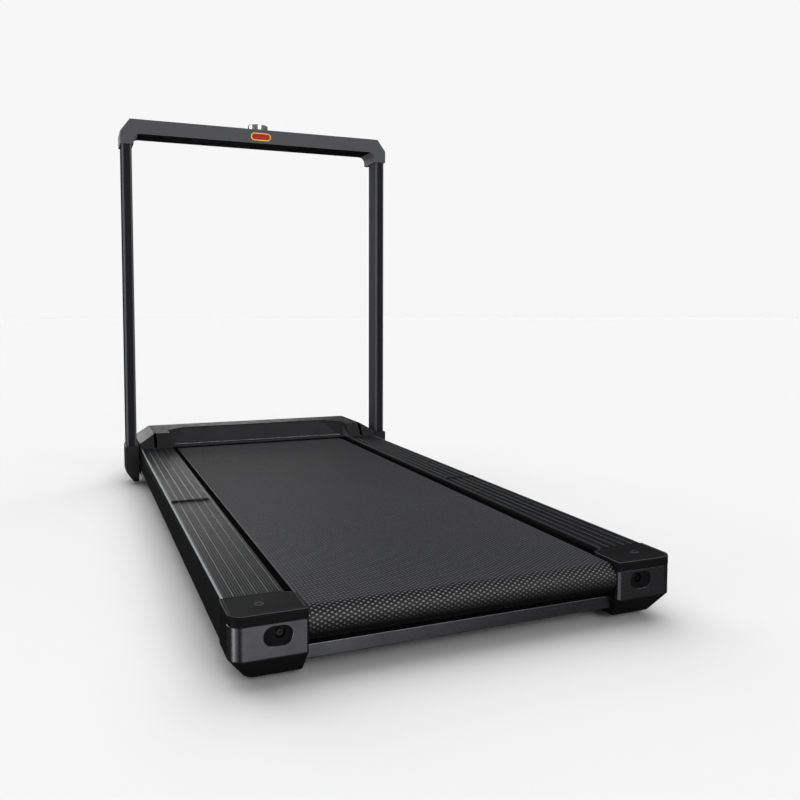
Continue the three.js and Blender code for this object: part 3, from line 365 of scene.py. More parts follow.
def brushed_metal(name, colour, rough, stretch, anisotropic=0.5, metal=1.0, depth=0.00002):
    """Metal with fine lines along one axis and faint smears."""
    g = Graph(name)
    lines = g.noise(900, 3, stretch)
    smear = g.noise(26, 4)
    tint = g.blend(g.spread(smear, 0, 1), shade(colour, 0.88), shade(colour, 1.1))
    tint = g.blend(g.math("MULTIPLY", lines, 0.06), tint, shade(colour, 0.85))
    rub = g.math("MULTIPLY", g.edges(0.0008, 5.0), 0.5, clamp=True)
    g.feed(g.shader.inputs["Base Color"], g.blend(rub, tint, shade(colour, 1.7)))
    g.feed(g.shader.inputs["Roughness"], g.math("ADD", g.spread(lines, -0.02, 0.04), rough))
    g.feed(g.shader.inputs["Normal"], g.bump(lines, depth))
    g.shader.inputs["Metallic"].default_value = metal
    g.shader.inputs["Anisotropic"].default_value = anisotropic
    return g.material


COVER = surface(
    "cover_plastic_charcoal", (0.018, 0.0182, 0.0193), 0.40, specular=0.12, wear=0.8, wear_tone=4,
)
RIBBED = ribbed_plastic()
BARS = surface(
    "crossbar_plastic_grey", (0.080, 0.0810, 0.0860), 0.62, specular=0.3, depth=0.00002, tone=0.05,
    haze=0.02, wear=0.8, wear_tone=2.4, edge=0.002,
)
BLACK = surface("black_plastic_fine", (0.0030, 0.0030, 0.0032), 0.42, specular=0.12, depth=0.00004)
CAP = cap_plastic()
PAN = surface("pan_plastic_coarse", (0.0042, 0.0042, 0.0044), 0.6, specular=0.2, grain=700, depth=0.00012)
PANEL = surface(
    "gloss_panel_black", (0.022, 0.0222, 0.0235), 0.16, grain=500, depth=0.000003, tone=0.1,
    haze=0.03, wear=0.1, specular=0.12,
)
PAINT = surface("frame_powder_coat", (0.005, 0.005, 0.0053), 0.5, specular=0.3, grain=1100, depth=0.00009)
TUBE = tube_paint()
RUBBER = surface("rubber_matt", (0.006, 0.006, 0.006), 0.8, specular=0.2, grain=800, depth=0.0001, wear=0.15)
DRIVE_RUBBER = surface("drive_belt_rubber", (0.008, 0.008, 0.008), 0.7, grain=1200, brushed=(0.2, 1, 1))
CAST = surface("cast_metal_grey", (0.24, 0.25, 0.26), 0.5, metal=0.9, grain=900, depth=0.0001)
YELLOW = surface(
    "yellow_plastic_rim", (0.95, 0.74, 0.07), 0.34, tone=0.06, wear_tone=1.2, depth=0.00002, specular=0.2,
)
RED = surface(
    "red_plastic_key", (0.50, 0.003, 0.008), 0.30, tone=0.08, wear_tone=1.3, depth=0.00002, specular=0.15,
)
PLATE = brushed_metal(
    "graphite_plate_brushed", (0.118, 0.119, 0.126), 0.24, (0.04, 1, 1), metal=0.9, depth=0.000001,
)
STEEL = brushed_metal("bare_steel_turned", (0.46, 0.465, 0.475), 0.3, (0.05, 1, 1))
STRIP = brushed_metal("trim_strip_bright", (0.30, 0.305, 0.31), 0.25, (0.03, 1, 1), depth=0.000002)
CHROME = brushed_metal("knob_chrome", (0.68, 0.69, 0.71), 0.18, (1, 1, 0.1), 0.3, metal=0.85, depth=0.000003)
ZINC = brushed_metal("zinc_bolt", (0.055, 0.055, 0.057), 0.30, (1, 0.1, 1), anisotropic=0.2)
BOARD = laminate_board()
BELT = belt_rubber()


# ---- Building pieces -----------------------------------------------------------------------------
def smooth_by_angle(mesh, degrees):
    mesh.shade_smooth()
    mesh.set_sharp_from_angle(angle=radians(degrees))


def weight_normals(obj):
    modifier = obj.modifiers.new("even_shading", "WEIGHTED_NORMAL")
    modifier.keep_sharp = True
    modifier.weight = 80


def register(obj, material, body, nodes):
    obj.data.materials.clear()
    obj.data.materials.append(material)
    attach(obj, body)
    if nodes:
        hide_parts(*nodes)
    return obj


def link(name, mesh):
    obj = bpy.data.objects.new(name, mesh)
    scene.collection.objects.link(obj)
    return obj


def mesh_of(name, points, faces):
    """A mesh from points in millimetres, with its faces turned outward."""
    mesh = bpy.data.meshes.new(name)
    mesh.from_pydata([at(*point) for point in points], [], faces)
    bm = bmesh.new()
    bm.from_mesh(mesh)
    bmesh.ops.remove_doubles(bm, verts=bm.verts, dist=1e-7)
    bmesh.ops.recalc_face_normals(bm, faces=bm.faces)
    bm.to_mesh(mesh)
    bm.free()
    return mesh


def stack(loops):
    """Points and faces of a closed body through loops of equal length, with flat ends."""
    size = len(loops[0])
    points = [point for loop in loops for point in loop]
    faces = []
    for row in range(len(loops) - 1):
        for i in range(size):
            j = (i + 1) % size
            faces.append((row * size + i, row * size + j, (row + 1) * size + j, (row + 1) * size + i))
    faces.append(tuple(range(size))[::-1])
    faces.append(tuple((len(loops) - 1) * size + i for i in range(size)))
    return points, faces


def evaluated(obj):
    """The object's mesh with its modifiers applied, in place."""
    bpy.context.view_layer.update()
    graph = bpy.context.evaluated_depsgraph_get()
    mesh = bpy.data.meshes.new_from_object(obj.evaluated_get(graph))
    obj.modifiers.clear()
    obj.data = mesh
    return obj


def round_edges(obj, width, segments=3):
    modifier = obj.modifiers.new("rounding", "BEVEL")
    modifier.width = width * MM
    modifier.segments = segments
    modifier.limit_method = "ANGLE"
    modifier.angle_limit = radians(30)
    modifier.use_clamp_overlap = True
    return evaluated(obj)


def carve(obj, *tools):
    """Cuts closed tool meshes out of obj."""
    for index, tool in enumerate(tools):
        cutter = link(f"{obj.name}_cutter{index}", tool)
        modifier = obj.modifiers.new("cut", "BOOLEAN")
        modifier.operation = "DIFFERENCE"
        modifier.solver = "EXACT"
        modifier.object = cutter
        evaluated(obj)
        bpy.data.objects.remove(cutter)
    return obj


def body_of_node(node):
    return frame["nodes"][node]["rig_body"]


def packed_shape(node):
    """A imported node's mesh with its split corners joined, to be edited and freed."""
    bm = bmesh.new()
    bm.from_mesh(frame["nodes"][node].data)
    bmesh.ops.remove_doubles(bm, verts=bm.verts, dist=2e-6)
    return bm


def refined(node, material, width):
    """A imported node's own shape with rounded edges."""
    bm = packed_shape(node)
    bmesh.ops.dissolve_limit(bm, angle_limit=radians(0.6), verts=bm.verts, edges=bm.edges)
    mesh = bpy.data.meshes.new(f"{node}_finished")
    bm.to_mesh(mesh)
    bm.free()
    obj = link(f"{node}_finished", mesh)
    round_edges(obj, width)
    smooth_by_angle(obj.data, 35)
    weight_normals(obj)
    register(obj, material, body_of_node(node), [node])


def arc(centre_a, centre_b, radius, start, end, steps):
    return [
        (
            centre_a + radius * cos(radians(start + (end - start) * i / steps)),
            centre_b + radius * sin(radians(start + (end - start) * i / steps)),
        )
        for i in range(steps + 1)
    ]


def flipped(points, side):
    return [(side * x, y, z) for x, y, z in points]


def stacked(name, loops, side=1):
    """A closed mesh through loops, mirrored to the given side."""
    points, faces = stack(loops)
    return mesh_of(name, flipped(points, side), faces)


def box_mesh(name, x1, x2, y1, y2, z1, z2):
    corners = [(x, y, z) for z in (z1, z2) for x, y in ((x1, y1), (x2, y1), (x2, y2), (x1, y2))]
    faces = [(3, 2, 1, 0), (4, 5, 6, 7), (0, 1, 5, 4), (1, 2, 6, 5), (2, 3, 7, 6), (3, 0, 4, 7)]
    return mesh_of(name, corners, faces)


# ---- Running belt --------------------------------------------------------------------------------
def dot_height(x, run):
    """Height of the dotted face over its base, staggered every second row."""
    crest = cos(2 * pi * x / DOT_PITCH_X) * cos(2 * pi * run / DOT_PITCH_Y)
    fade = min(max((DOT_EDGE - abs(x)) / DOT_FADE, 0), 1)
    return DOT_HEIGHT * fade * (0.5 + 0.5 * crest) ** 1.5 - DOT_SINK


def belt_columns():
    count = int(2 * DOT_FIELD / BELT_COLUMN)
    middle = [-DOT_FIELD + BELT_COLUMN * i for i in range(count + 1)]
    return [-BELT_HALF, -BELT_HALF + 0.5, -DOT_EDGE, *middle, DOT_EDGE, BELT_HALF - 0.5, BELT_HALF]


def belt_piece(name, path, body, nodes):
    """A strip along path, whose entries are y, z, outward y, outward z, run, dotted."""
    columns = belt_columns()
    width = len(columns)
    points, faces, runs = [], [], []
    for y, z, out_y, out_z, run, dotted in path:
        for x in columns:
            lift = dot_height(x, run) if dotted else -SMOOTH_SINK
            if abs(x) >= DOT_EDGE:
                lift = -DOT_SINK
            if abs(x) == BELT_HALF:
                lift = -BELT_EDGE_SINK
            points.append((x, y + out_y * (BELT_OUTER + lift), z + out_z * (BELT_OUTER + lift)))
            runs.append(run)
        for x in (BELT_HALF, -BELT_HALF):
            points.append((x, y + out_y * BELT_INNER, z + out_z * BELT_INNER))
            runs.append(run)
    ring = width + 2
    for row in range(len(path) - 1):
        for i in range(ring):
            j = (i + 1) % ring
            faces.append((row * ring + i, row * ring + j, (row + 1) * ring + j, (row + 1) * ring + i))
    faces.append(tuple(range(ring))[::-1])
    faces.append(tuple((len(path) - 1) * ring + i for i in range(ring)))
    mesh = bpy.data.meshes.new(name)
    mesh.from_pydata([at(*point) for point in points], [], faces)
    layer = mesh.attributes.new("belt_run", "FLOAT", "POINT")
    layer.data.foreach_set("value", runs)
    bm = bmesh.new()
    bm.from_mesh(mesh)
    bmesh.ops.recalc_face_normals(bm, faces=bm.faces)
    bm.to_mesh(mesh)
    bm.free()
    smooth_by_angle(mesh, 60)
    obj = link(name, mesh)
    obj.data.materials.append(BELT)
    if body:
        register(obj, BELT, body, nodes)
    return obj


def straight(start, end, up, step, dotted, offset=0.0):
    count = max(1, round(abs(end - start) / step))
    rows = []
    for i in range(count + 1):
        y = start + (end - start) * i / count
        run = y if up > 0 else offset - y
        rows.append((y, ROLLER_Z, 0, up, run, dotted))
    return rows


def wrap(centre, sign):
    """Half a turn round a roller from the top strand; sign is -1 at the rear, 1 at the front."""
    length = pi * BELT_OUTER
    count = round(length / BELT_ROW)
    rows = []
    for i in range(1, count):
        turn = pi * i / count
        rows.append((
            centre, ROLLER_Z, sign * sin(turn), cos(turn), centre + sign * length * i / count, True,
        ))
    return rows


UNDER_STEP = 14
rear_end_run = REAR_ROLLER_Y - pi * BELT_OUTER
rear_path = (
    straight(BEND_START, REAR_ROLLER_Y, 1, BELT_ROW, True)
    + wrap(REAR_ROLLER_Y, -1)
    + straight(REAR_ROLLER_Y, BEND_START, -1, UNDER_STEP, False, rear_end_run + REAR_ROLLER_Y)
)
belt_piece("belt_rear", rear_path, "rear_deck", ["running_belt_rear"])
front_end_run = FRONT_ROLLER_Y + pi * BELT_OUTER
front_path = (
    straight(BEND_END, FRONT_ROLLER_Y, 1, BELT_ROW, True)
    + wrap(FRONT_ROLLER_Y, 1)
    + straight(FRONT_ROLLER_Y, BEND_END, -1, UNDER_STEP, False, front_end_run + FRONT_ROLLER_Y)
)
belt_piece("belt_front", front_path, "base", ["running_belt_front"])
for strand, up in (("upper", 1), ("lower", -1)):
    path = straight(BEND_START, BEND_END, up, BELT_ROW, up > 0, rear_end_run + REAR_ROLLER_Y)
    bend = belt_piece(f"belt_bend_{strand}", path, None, [])
    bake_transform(bend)


# ---- Rail covers ---------------------------------------------------------------------------------
GROOVE_HALF = 0.5
GROOVE_DEPTH = 0.3
GROOVE_PITCH = 3.75
NOTCH_HALF = 2
NOTCH_END = 2.4
NOTCH_INNER, NOTCH_OUTER = 253, 325
NOTCH_LOW, NOTCH_HIGH = 88, 96
SEAM_HALF = 0.4
CAP_GAP = 0.3
COVER_FRONT_Y = 1199


def rail_profile():
    """The cover's section (x, z), from the inner foot over the ribbed top to the outer skirt."""
    top = []
    grooves = []
    for ridge in RIDGES:
        top.append((ridge - RIDGE_HALF, 0))
        top.append((ridge - RIDGE_HALF * 0.55, RIDGE_RISE * 0.75))
        top.append((ridge, RIDGE_RISE))
        top.append((ridge + RIDGE_HALF * 0.55, RIDGE_RISE * 0.75))
        top.append((ridge + RIDGE_HALF, 0))
        grooves += [ridge + GROOVE_PITCH * k for k in (1, 2, 3)]
    for groove in grooves:
        top += [(groove - GROOVE_HALF, 0), (groove, -GROOVE_DEPTH), (groove + GROOVE_HALF, 0)]
    top.sort()
    inner = [
        (COVER_INNER, 86.4), (COVER_INNER, 91.9), (COVER_INNER + 0.35, 92.6), (COVER_INNER + 1.0, 93.0),
        (COVER_INNER + 1.7, 92.8), (COVER_INNER + 2.1, TREAD_Z),
    ]
    outer = [(324.4, 92.6), (325.4, 92.95), (326.6, 92.7), (327.6, 91.6), (328.0, 90.6)]
    skirt = [(329.7, 82.5), (330, 80), (330, 42), (329.4, 39.6), (311, 18.8), (309.6, 18)]
    inside = [
        (308, 20), (326.6, 41), (327, 42.4), (327, 88.6), (326, 89.6), (249.6, 89.6), (249, 89),
        (249, 86.4),
    ]
    return inner + [(x, TREAD_Z + z) for x, z in top] + outer + skirt + inside


def rail_cover(end, name, side, y1, y2, body):
    profile = rail_profile()
    joint = FOLD_Y - NOTCH_END if end == "rear" else FOLD_Y + NOTCH_END
    mesh = stacked(name, [[(x, y, z) for x, z in profile] for y in (y1, joint, y2)], side)
    bm = bmesh.new()
    bm.from_mesh(mesh)
    tips = [at(0, y, 0)[1] for y in (y1, y2)]
    ends = [e for e in bm.edges if any(all(abs(v.co.y - tip) < 1e-5 for v in e.verts) for tip in tips)]
    bmesh.ops.bevel(
        bm, geom=ends, offset=0.22 * MM, segments=2, profile=0.5, affect="EDGES", clamp_overlap=True,
    )
    bm.to_mesh(mesh)
    bm.free()
    obj = link(name, mesh)
    notch = box_mesh(
        "hinge_notch", side * NOTCH_INNER, side * NOTCH_OUTER, FOLD_Y - NOTCH_HALF, FOLD_Y + NOTCH_HALF,
        NOTCH_LOW, NOTCH_HIGH,
    )
    carve(obj, notch)
    smooth_by_angle(obj.data, 28)
    weight_normals(obj)
    return register(obj, RIBBED, body, [f"{end}_rail_cover_{name.rsplit('_', 1)[1]}"])


for hand, side in SIDES.items():
    rail_cover("rear", f"rail_cover_rear_{hand}", side, CAP_DEPTH + CAP_GAP, FOLD_Y - SEAM_HALF, "rear_deck")
    rail_cover("front", f"rail_cover_front_{hand}", side, FOLD_Y + SEAM_HALF, COVER_FRONT_Y, "base")


# ---- End caps ------------------------------------------------------------------------------------
def cap_loop(z, edge=0.0, inner=0.0, shoe=0.0, plate=0.0):
    """The cap seen from above at one height, drawn in by margins, tapering into the shoe."""
    side = DECK_HALF - edge
    edge += plate
    radius = CAP_CORNER - edge
    x1, x2, y1 = CAP_INNER + inner, DECK_HALF - edge, edge
    corner = INNER_CHAMFER - plate * 0.41
    loop = [
        (x1, y1 + corner), (x1 + corner * 0.5, y1 + corner * 0.5), (x1 + corner, y1),
        *arc(x2 - radius, y1 + radius, radius, -90, 0, 14),
        (x2, PLATE_END_Y),
        (side, PLATE_END_Y + 0.1),
        (side, CAP_DEPTH),
        (COVER_INNER + inner, CAP_DEPTH),
        *arc(COVER_INNER + inner + 3, 63, 3, 180, 180, 1),
        (x1 + 1.2, 57.6),
        (x1, 55.5),
    ]
    result = []
    for x, y in loop:
        foot_x = SHOE_INNER + (x - CAP_INNER) * (SHOE_OUTER - SHOE_INNER) / (DECK_HALF - CAP_INNER)
        foot_y = SHOE_REAR_Y + y * (CAP_DEPTH - SHOE_REAR_Y) / CAP_DEPTH
        result.append((x + (foot_x - x) * shoe, y + (foot_y - y) * shoe, z))
    return result


def stadium_loop(y, half, radius, x=RECESS_X, steps=12):
    ends = [
        *arc(x + half, RECESS_Z, radius, -90, 90, steps),
        *arc(x - half, RECESS_Z, radius, 90, 270, steps),
    ]
    return [(a, y, b) for a, b in ends]


def end_cap(hand, side):
    loops = [
        cap_loop(8, shoe=1, edge=1.2, inner=1.2),
        cap_loop(8.4, shoe=1, edge=0.3, inner=0.3),
        cap_loop(9.4, shoe=0.97),
        cap_loop(35.2, shoe=0.045),
        cap_loop(36.2, shoe=0.008),
        cap_loop(PLATE_LOW, plate=0.5),
        cap_loop(PLATE_LOW, inner=PLATE_INSET, plate=PLATE_INSET),
        cap_loop(PLATE_HIGH, inner=PLATE_INSET, plate=PLATE_INSET),
        cap_loop(PLATE_HIGH, plate=0.5),
        cap_loop(PLATE_HIGH + 0.6),
        cap_loop(90.3),
        cap_loop(90.6, edge=0.4),
        cap_loop(90.7, edge=1.1),
        cap_loop(91.4, edge=1.1),
        cap_loop(91.5, edge=0.35),
        cap_loop(92.1, edge=0.3, inner=0.1),
        cap_loop(92.7, edge=0.7, inner=0.6),
        cap_loop(93, edge=1.6, inner=1.5),
        cap_loop(93, edge=3.2, inner=3.1),
        cap_loop(92.75, edge=3.7, inner=3.6),
    ]
    name = f"end_cap_body_{hand}"
    obj = link(name, stacked(name, loops, side))
    cavity = box_mesh("cavity", side * 236, side * 315, 14, 67, 29, 89.6)
    channel = box_mesh("channel", side * 230, side * 262, 19.7, 44.3, 19.2, 38.3)
    window = box_mesh("window", side * 230, side * 238, 14, 38, 58.5, 72.5)
    dish = [
        stadium_loop(y, RECESS_HALF, radius)
        for y, radius in ((-1, 12.6), (2.0, 12.2), (2.5, 11.8), (3.5, 11.0), (3.8, 10.2))
    ]
    well = [
        [(BOLT_X + a, y, BOLT_Z + b) for a, b in arc(0, 0, radius, 0, 345, 23)]
        for y, radius in ((3.0, 7.7), (4.2, 7.3), (5.0, 6.8), (11.5, 6.5), (12, 3.4), (16, 3.4))
    ]
    carve(obj, cavity, channel, window, stacked("dish", dish, side), stacked("well", well, side))
    smooth_by_angle(obj.data, 32)
    weight_normals(obj)
    register(obj, CAP, "rear_deck", [f"end_cap_{hand}"])


def end_plate(hand, side):
    """Metal plate round the outer corner, with rounded rims and an opening for the recess."""
    def ring(z, grow):
        rear = PLATE_CLEAR + grow
        back = rear + PLATE_THICK - 2 * grow
        radius = CAP_CORNER - rear
        flank = CAP_INNER + rear
        inner_flank = CAP_INNER + back
        inner_corner = INNER_CHAMFER - (back - rear) * 0.59
        outside = [
            (flank, PLATE_RETURN), (flank, rear + INNER_CHAMFER), (flank + INNER_CHAMFER, rear),
            *arc(DECK_HALF - CAP_CORNER, CAP_CORNER, radius, -90, 0, 16),
            (DECK_HALF - rear, CAP_CORNER + 2),
        ]
        inner_radius = CAP_CORNER - back
        inside = [
            (DECK_HALF - back, CAP_CORNER + 2),
            *arc(DECK_HALF - CAP_CORNER, CAP_CORNER, inner_radius, 0, -90, 16),
            (inner_flank + inner_corner, back), (inner_flank, back + inner_corner),
            (inner_flank, PLATE_RETURN),
        ]
        return [(x, y, z) for x, y in outside + inside]

    low, high, lip = PLATE_LOW + PLATE_GAP, PLATE_HIGH - PLATE_GAP, PLATE_LIP
    rings = [ring(low, lip), ring(low + lip, 0), ring(high - lip, 0), ring(high, lip)]
    name = f"end_plate_body_{hand}"
    obj = link(name, stacked(name, rings, side))
    opening = [
        stadium_loop(y, RECESS_HALF, radius)
        for y, radius in ((-1, 13.1), (0.2, 12.9), (0.6, 12.5), (3, 12.5))
    ]
    carve(obj, stacked("opening", opening, side))
    smooth_by_angle(obj.data, 28)
    weight_normals(obj)
    register(obj, PLATE, "rear_deck", [f"end_plate_{hand}"])


def turned(name, profile, axis, centre, sides=40):
    """A body of revolution: profile holds (radius, distance along the axis) from end to end."""
    loops = []
    for radius, along in profile:
        loop = []
        for i in range(sides):
            a = radius * cos(2 * pi * i / sides)
            b = radius * sin(2 * pi * i / sides)
            offset = {"x": (along, a, b), "y": (a, along, b), "z": (a, b, along)}[axis]
            loop.append(tuple(c + o for c, o in zip(centre, offset)))
        loops.append(loop)
    return mesh_of(name, *stack(loops))


def tension_bolt(hand, side):
    """Socket-head bolt with a washer, at the bottom of the recess."""
    centre = (side * BOLT_X, 0, BOLT_Z)
    profile = [
        (2.4, 9.4), (2.4, 6.6), (2.6, 6.3), (3.9, 6.2), (4.3, 6.5), (4.5, 7.0), (4.5, 10.1), (5.8, 10.2),
        (5.9, 10.4), (5.9, 11.4), (3.3, 11.5), (3.3, 57),
    ]
    obj = link(f"tension_bolt_{hand}", turned(f"tension_bolt_{hand}", profile, "y", centre, 48))
    socket = [
        [(centre[0] + a, y, BOLT_Z + b) for a, b in arc(0, 0, SOCKET_REACH, 0, 300, 5)] for y in (4, 9)
    ]
    carve(obj, stacked("socket", socket))
    smooth_by_angle(obj.data, 35)
    weight_normals(obj)
    register(obj, ZINC, "rear_deck", [f"belt_tension_bolt_{hand}"])


def cap_plug(hand, side):
    """Round plug over the screw that holds the cap's top, with a sunk ring round it."""
    profile = [
        (6.2, 92.2), (6.2, 93.0), (5.8, 93.3), (5.2, 93.3), (4.8, 92.95), (3.9, 92.8), (3.4, 93.1),
        (2.0, 93.3), (0.5, 93.35),
    ]
    name = f"cap_screw_plug_{hand}"
    obj = link(name, turned(name, profile, "z", (side * PLUG_X, PLUG_Y, 0), 36))
    smooth_by_angle(obj.data, 40)
    register(obj, CAP, "rear_deck", [])


for hand, side in SIDES.items():
    end_cap(hand, side)
    end_plate(hand, side)
    tension_bolt(hand, side)
    cap_plug(hand, side)


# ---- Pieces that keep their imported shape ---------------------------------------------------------
PLAIN = {
    "rear_cross_bar": (PLATE, "graphite_plate", 1.4),
    "rear_deck_board": (BOARD, "board", 0.6),
    "front_deck_board": (BOARD, "board", 0.6),
    "rear_roller": (STEEL, "bare_steel", 0.5),
    "front_roller": (STEEL, "bare_steel", 0.5),
    "rear_roller_axle": (STEEL, "bare_steel", 0.4),
    "front_roller_axle": (STEEL, "bare_steel", 0.4),
    "motor_hood": (COVER, "cover_plastic", 1.1),
    "hood_panel": (PANEL, "gloss_panel", 0.4),
    "hood_trim_strip": (STRIP, "bare_steel", 0.5),
    "base_pan": (PAN, "pan_plastic", 0.7),
    "motor_housing": (BLACK, "pan_plastic", 0.8),
    "motor_end_bell": (CAST, "cast_metal", 0.6),
    "motor_rotor": (STEEL, "bare_steel", 0.5),
    "motor_pulley": (CAST, "cast_metal", 0.3),
    "roller_pulley": (CAST, "cast_metal", 0.3),
    "drive_belt": (DRIVE_RUBBER, "rubber", 0.3),
    "controller_box": (CAST, "cast_metal", 0.6),
    "power_inlet": (BLACK, "black_plastic", 0.5),
    "power_switch": (RED, "red_plastic", 0.4),
    "handrail_crossbar": (BARS, "cover_plastic", 2.2),
    "crossbar_underside": (BLACK, "black_plastic", 0.5),
    "knob_shaft": (STEEL, "bare_steel", 0.4),
}
PAIRED = {
    "rear_side_frame": (PAINT, "frame_paint", 1.2),
    "front_side_frame": (PAINT, "frame_paint", 1.2),
    "rear_foot": (RUBBER, "rubber", 1.0),
    "middle_foot": (RUBBER, "rubber", 1.0),
    "front_foot": (RUBBER, "rubber", 1.0),
    "transport_wheel": (RUBBER, "rubber", 1.0),
    "handrail_pivot": (STEEL, "bare_steel", 0.6),
    "handrail_arm": (COVER, "black_plastic", 1.6),
}
for node, (material, slot, width) in PLAIN.items():
    refined(node, material, width)
for stem, (material, slot, width) in PAIRED.items():
    for hand in SIDES:
        refined(f"{stem}_{hand}", material, width)


# ---- Fold hinges and handrail tubes --------------------------------------------------------------
HINGE_Z = TOP + 0.6
HINGE_BARREL = 2.6
HINGE_SLIM = 0.6
TUBE_INNER, TUBE_OUTER = 337.5, 363.5
TUBE_REAR_Y, TUBE_FRONT_Y = 1198, 1258
TUBE_LOW, TUBE_HIGH = 73, 906
TUBE_CHAMFER = 4.8
TUBE_TIP = 0.8


def slim_hinge(node):
    """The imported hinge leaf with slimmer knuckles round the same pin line."""
    bm = packed_shape(node)
    pin = at(0, FOLD_Y, HINGE_Z)
    for vert in bm.verts:
        y, z = vert.co.y - pin[1], vert.co.z - pin[2]
        if hypot(y, z) < (HINGE_BARREL + 0.1) * MM:
            vert.co.y = pin[1] + y * HINGE_SLIM
            vert.co.z = pin[2] + z * HINGE_SLIM
    mesh = bpy.data.meshes.new(f"{node}_finished")
    bm.to_mesh(mesh)
    bm.free()
    obj = link(f"{node}_finished", mesh)
    smooth_by_angle(obj.data, 35)
    register(obj, COVER, body_of_node(node), [node])


def handrail_tube(hand, side):
    """Rectangular tube with broad flats along its corners."""
    cut = TUBE_CHAMFER

    def section(z, inset):
        x1, x2 = TUBE_INNER + inset, TUBE_OUTER - inset
        y1, y2 = TUBE_REAR_Y + inset, TUBE_FRONT_Y - inset
        return [
            (x1 + cut, y1, z), (x2 - cut, y1, z), (x2, y1 + cut, z), (x2, y2 - cut, z),
            (x2 - cut, y2, z), (x1 + cut, y2, z), (x1, y2 - cut, z), (x1, y1 + cut, z),
        ]

    low, high, tip = TUBE_LOW, TUBE_HIGH, TUBE_TIP
    name = f"handrail_tube_{hand}_finished"
    ends = [section(low, tip), section(low + tip, 0), section(high - tip, 0), section(high, tip)]
    obj = link(name, stacked(name, ends, side))
    round_edges(obj, 0.7, 2)
    smooth_by_angle(obj.data, 35)
    weight_normals(obj)
    register(obj, TUBE, "handrail", [f"handrail_tube_{hand}"])


for hand, side in SIDES.items():
    slim_hinge(f"fold_hinge_front_{hand}")
    slim_hinge(f"fold_hinge_rear_{hand}")
    handrail_tube(hand, side)


# ---- Controls on the crossbar --------------------------------------------------------------------
KNOB_Y = 1240
KNOB_BASE = 948.8
KEY_Z = 927
KEY_HALF = 17.5
BAR_FACE_Y = 1195.5


def control_knob():
    base = KNOB_BASE
    profile = [
        (4.3, base + 0.2), (9, base + 0.2), (9, base + 12), (25, base + 12), (25.4, base + 0.3),
        (27.6, base), (28.4, base + 0.3), (28.9, base + 1.2), (29, base + 2), (29, base + 3.8),
        (28.5, base + 4.1), (28.5, base + 4.7), (29, base + 5.0), (29, base + 13.6), (28.8, base + 14.5),
        (28.1, base + 15.3), (27.0, base + 15.8), (25.6, base + 16), (24.8, base + 15.8), (24.2, base + 15.4),
        (10, base + 14.9), (0.4, base + 14.8),
    ]
    obj = link("control_knob_turned", turned("control_knob_turned", profile, "z", (0, KNOB_Y, 0), 96))
    smooth_by_angle(obj.data, 32)
    weight_normals(obj)
    register(obj, CHROME, "control_knob", ["control_knob"])


def pill(name, layers, material, body, nodes, hole=None):
    """A long round body on the bar's face; layers hold (y, half length of the straight, radius)."""
    def layered(mesh_name, rows):
        return stacked(mesh_name, [
            [(x, y, KEY_Z + z - RECESS_Z) for x, y, z in stadium_loop(y, half, radius, 0, 14)]
            for y, half, radius in rows
        ])

    obj = link(name, layered(name, layers))
    if hole:
        carve(obj, layered("hole", hole))
    smooth_by_angle(obj.data, 35)
    weight_normals(obj)
    register(obj, material, body, nodes)


face = BAR_FACE_Y
pill(
    "key_socket_rim",
    [(face + 8, KEY_HALF, 10.2), (face - 0.4, KEY_HALF, 10.4), (face - 1.2, KEY_HALF, 10.0),
     (face - 1.6, KEY_HALF, 9.3)],
    YELLOW, "handrail", ["safety_key_socket"],
    hole=[(face + 5, KEY_HALF, 7.3), (face - 0.6, KEY_HALF, 7.3), (face - 2, KEY_HALF, 8.2)],
)
pill(
    "safety_key_body",
    [(face + 4.7, KEY_HALF, 7.0), (face - 0.8, KEY_HALF, 7.0), (face - 1.9, KEY_HALF, 6.4),
     (face - 2.4, 17.4, 5.4), (face - 2.5, 17.2, 4.2), (face - 2.1, 16.8, 3.2), (face - 2.1, 16.6, 2.6)],
    RED, "safety_key", ["safety_key"],
)
control_knob()


# ---- Floor, light and camera ---------------------------------------------------------------------
FLOOR_HALF = 60
FLOOR_COLOUR = (0.695, 0.695, 0.698, 1)


def studio_floor():
    mesh = bpy.data.meshes.new("studio_floor")
    mesh.from_pydata(
        [(-FLOOR_HALF, -FLOOR_HALF, 0), (FLOOR_HALF, -FLOOR_HALF, 0), (FLOOR_HALF, FLOOR_HALF, 0),
         (-FLOOR_HALF, FLOOR_HALF, 0)],
        [], [(0, 1, 2, 3)],
    )
    floor = link("studio_floor", mesh)
    g = Graph("studio_floor_white")
    g.feed(g.shader.inputs["Base Color"], FLOOR_COLOUR)
    g.shader.inputs["Roughness"].default_value = 0.9
    g.shader.inputs["Specular IOR Level"].default_value = 0.0
    mesh.materials.append(g.material)
    floor.visible_glossy = False


def bearing(azimuth, elevation):
    """A direction from its azimuth, clockwise from +Y, and its height over the horizon, in degrees."""
    flat = cos(radians(elevation))
    return (flat * sin(radians(azimuth)), flat * cos(radians(azimuth)), sin(radians(elevation)))


def sun_light(name, azimuth, elevation, strength, spread):
    data = bpy.data.lights.new(name, "SUN")
    data.energy = strength
    data.angle = radians(spread)
    lamp = link(name, data)
    lamp.rotation_euler = Vector(bearing(azimuth, elevation)).to_track_quat("Z", "Y").to_euler()
    lamp.visible_glossy = False


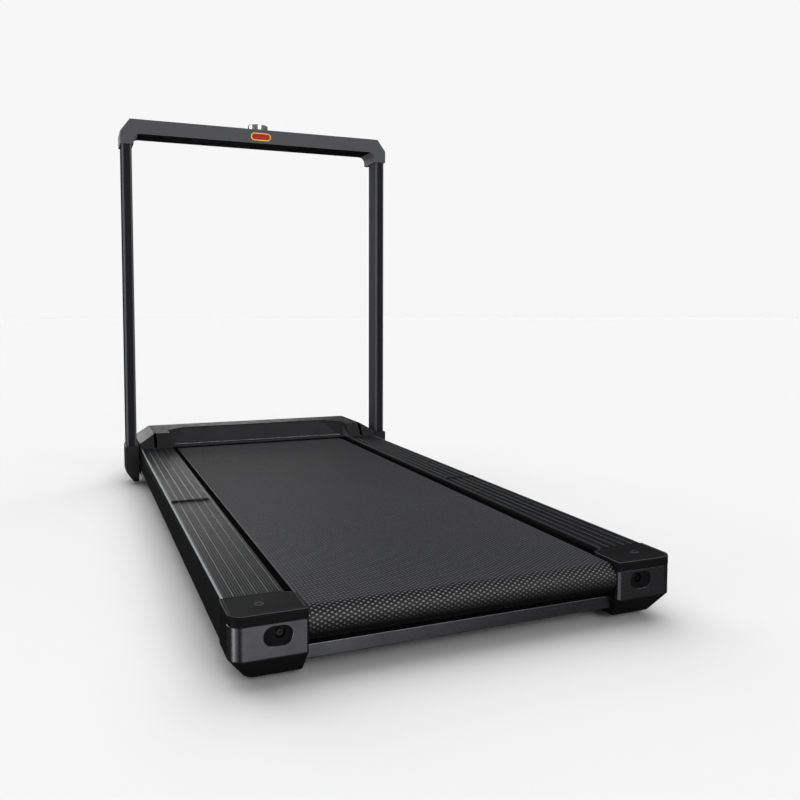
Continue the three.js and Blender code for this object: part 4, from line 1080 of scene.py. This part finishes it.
# Soft panels far from the object: azimuth, elevation, inner and outer reach in degrees, brightness.
PANELS = (
    (-17, 12, 6, 18, 3.0),
    (11, 5, 3, 9, 2.3),
    (-38, 25, 5, 15, 2.2),
    (126, 56, 3, 12, 3.0),
    (-104, -21, 4, 14, 3.0),
    (-94, 2, 12, 22, 5.0),
    (-128, -20, 3, 9, 1.1),
    (173, -15, 7, 24, 0.85),
    (165, 28, 8, 24, 4.2),
)
AMBIENT_HIGH = 0.08
AMBIENT_LOW = 0.02
BACKDROP = 0.93


def studio_world():
    """Dim surround with soft panels, and an even pale backdrop behind the object."""
    world = bpy.data.worlds.new("studio_world")
    world.use_nodes = True
    scene.world = world
    tree = world.node_tree

    def add(kind, inputs, output=0, **settings):
        node = tree.nodes.new(kind)
        for key, value in settings.items():
            setattr(node, key, value)
        for key, value in inputs.items():
            if isinstance(value, bpy.types.NodeSocket):
                tree.links.new(value, node.inputs[key])
            else:
                node.inputs[key].default_value = value
        return node.outputs[output]

    toward = add("ShaderNodeTexCoord", {}, "Generated")
    height = add("ShaderNodeSeparateXYZ", {0: toward}, 2)
    total = add(
        "ShaderNodeMapRange", {0: height, 1: -0.02, 2: 0.05, 3: AMBIENT_LOW, 4: AMBIENT_HIGH},
        interpolation_type="SMOOTHSTEP",
    )
    for azimuth, elevation, inner, outer, power in PANELS:
        near = add(
            "ShaderNodeVectorMath", {0: toward, 1: bearing(azimuth, elevation)}, "Value",
            operation="DOT_PRODUCT",
        )
        panel = add(
            "ShaderNodeMapRange",
            {0: near, 1: cos(radians(outer)), 2: cos(radians(inner)), 3: 0.0, 4: power},
            interpolation_type="SMOOTHSTEP",
        )
        total = add("ShaderNodeMath", {0: total, 1: panel}, operation="ADD")
    tree.links.new(total, tree.nodes["Background"].inputs["Strength"])
    tree.nodes["Background"].inputs["Color"].default_value = (1, 1, 1, 1)
    seen = add("ShaderNodeBackground", {"Color": (1, 1, 1.004, 1), "Strength": BACKDROP})
    camera_ray = add("ShaderNodeLightPath", {}, "Is Camera Ray")
    shown = add("ShaderNodeMixShader", {0: camera_ray, 1: tree.nodes["Background"].outputs[0], 2: seen})
    tree.links.new(shown, tree.nodes["World Output"].inputs[0])


def studio_camera():
    data = bpy.data.cameras.new("photo_camera")
    data.lens = 34.49
    data.sensor_width = 36
    data.shift_x = 0.0474
    data.shift_y = -0.0535
    camera = bpy.data.objects.new("photo_camera", data)
    scene.collection.objects.link(camera)
    camera.location = (-0.499, -1.5715, 0.4515)
    camera.rotation_euler = (radians(86.65), 0, radians(-20.95))
    scene.camera = camera


studio_floor()
studio_world()
studio_camera()
sun_light("overhead_light", 15, 57, 3.4, 85)
scene.view_settings.view_transform = "Standard"
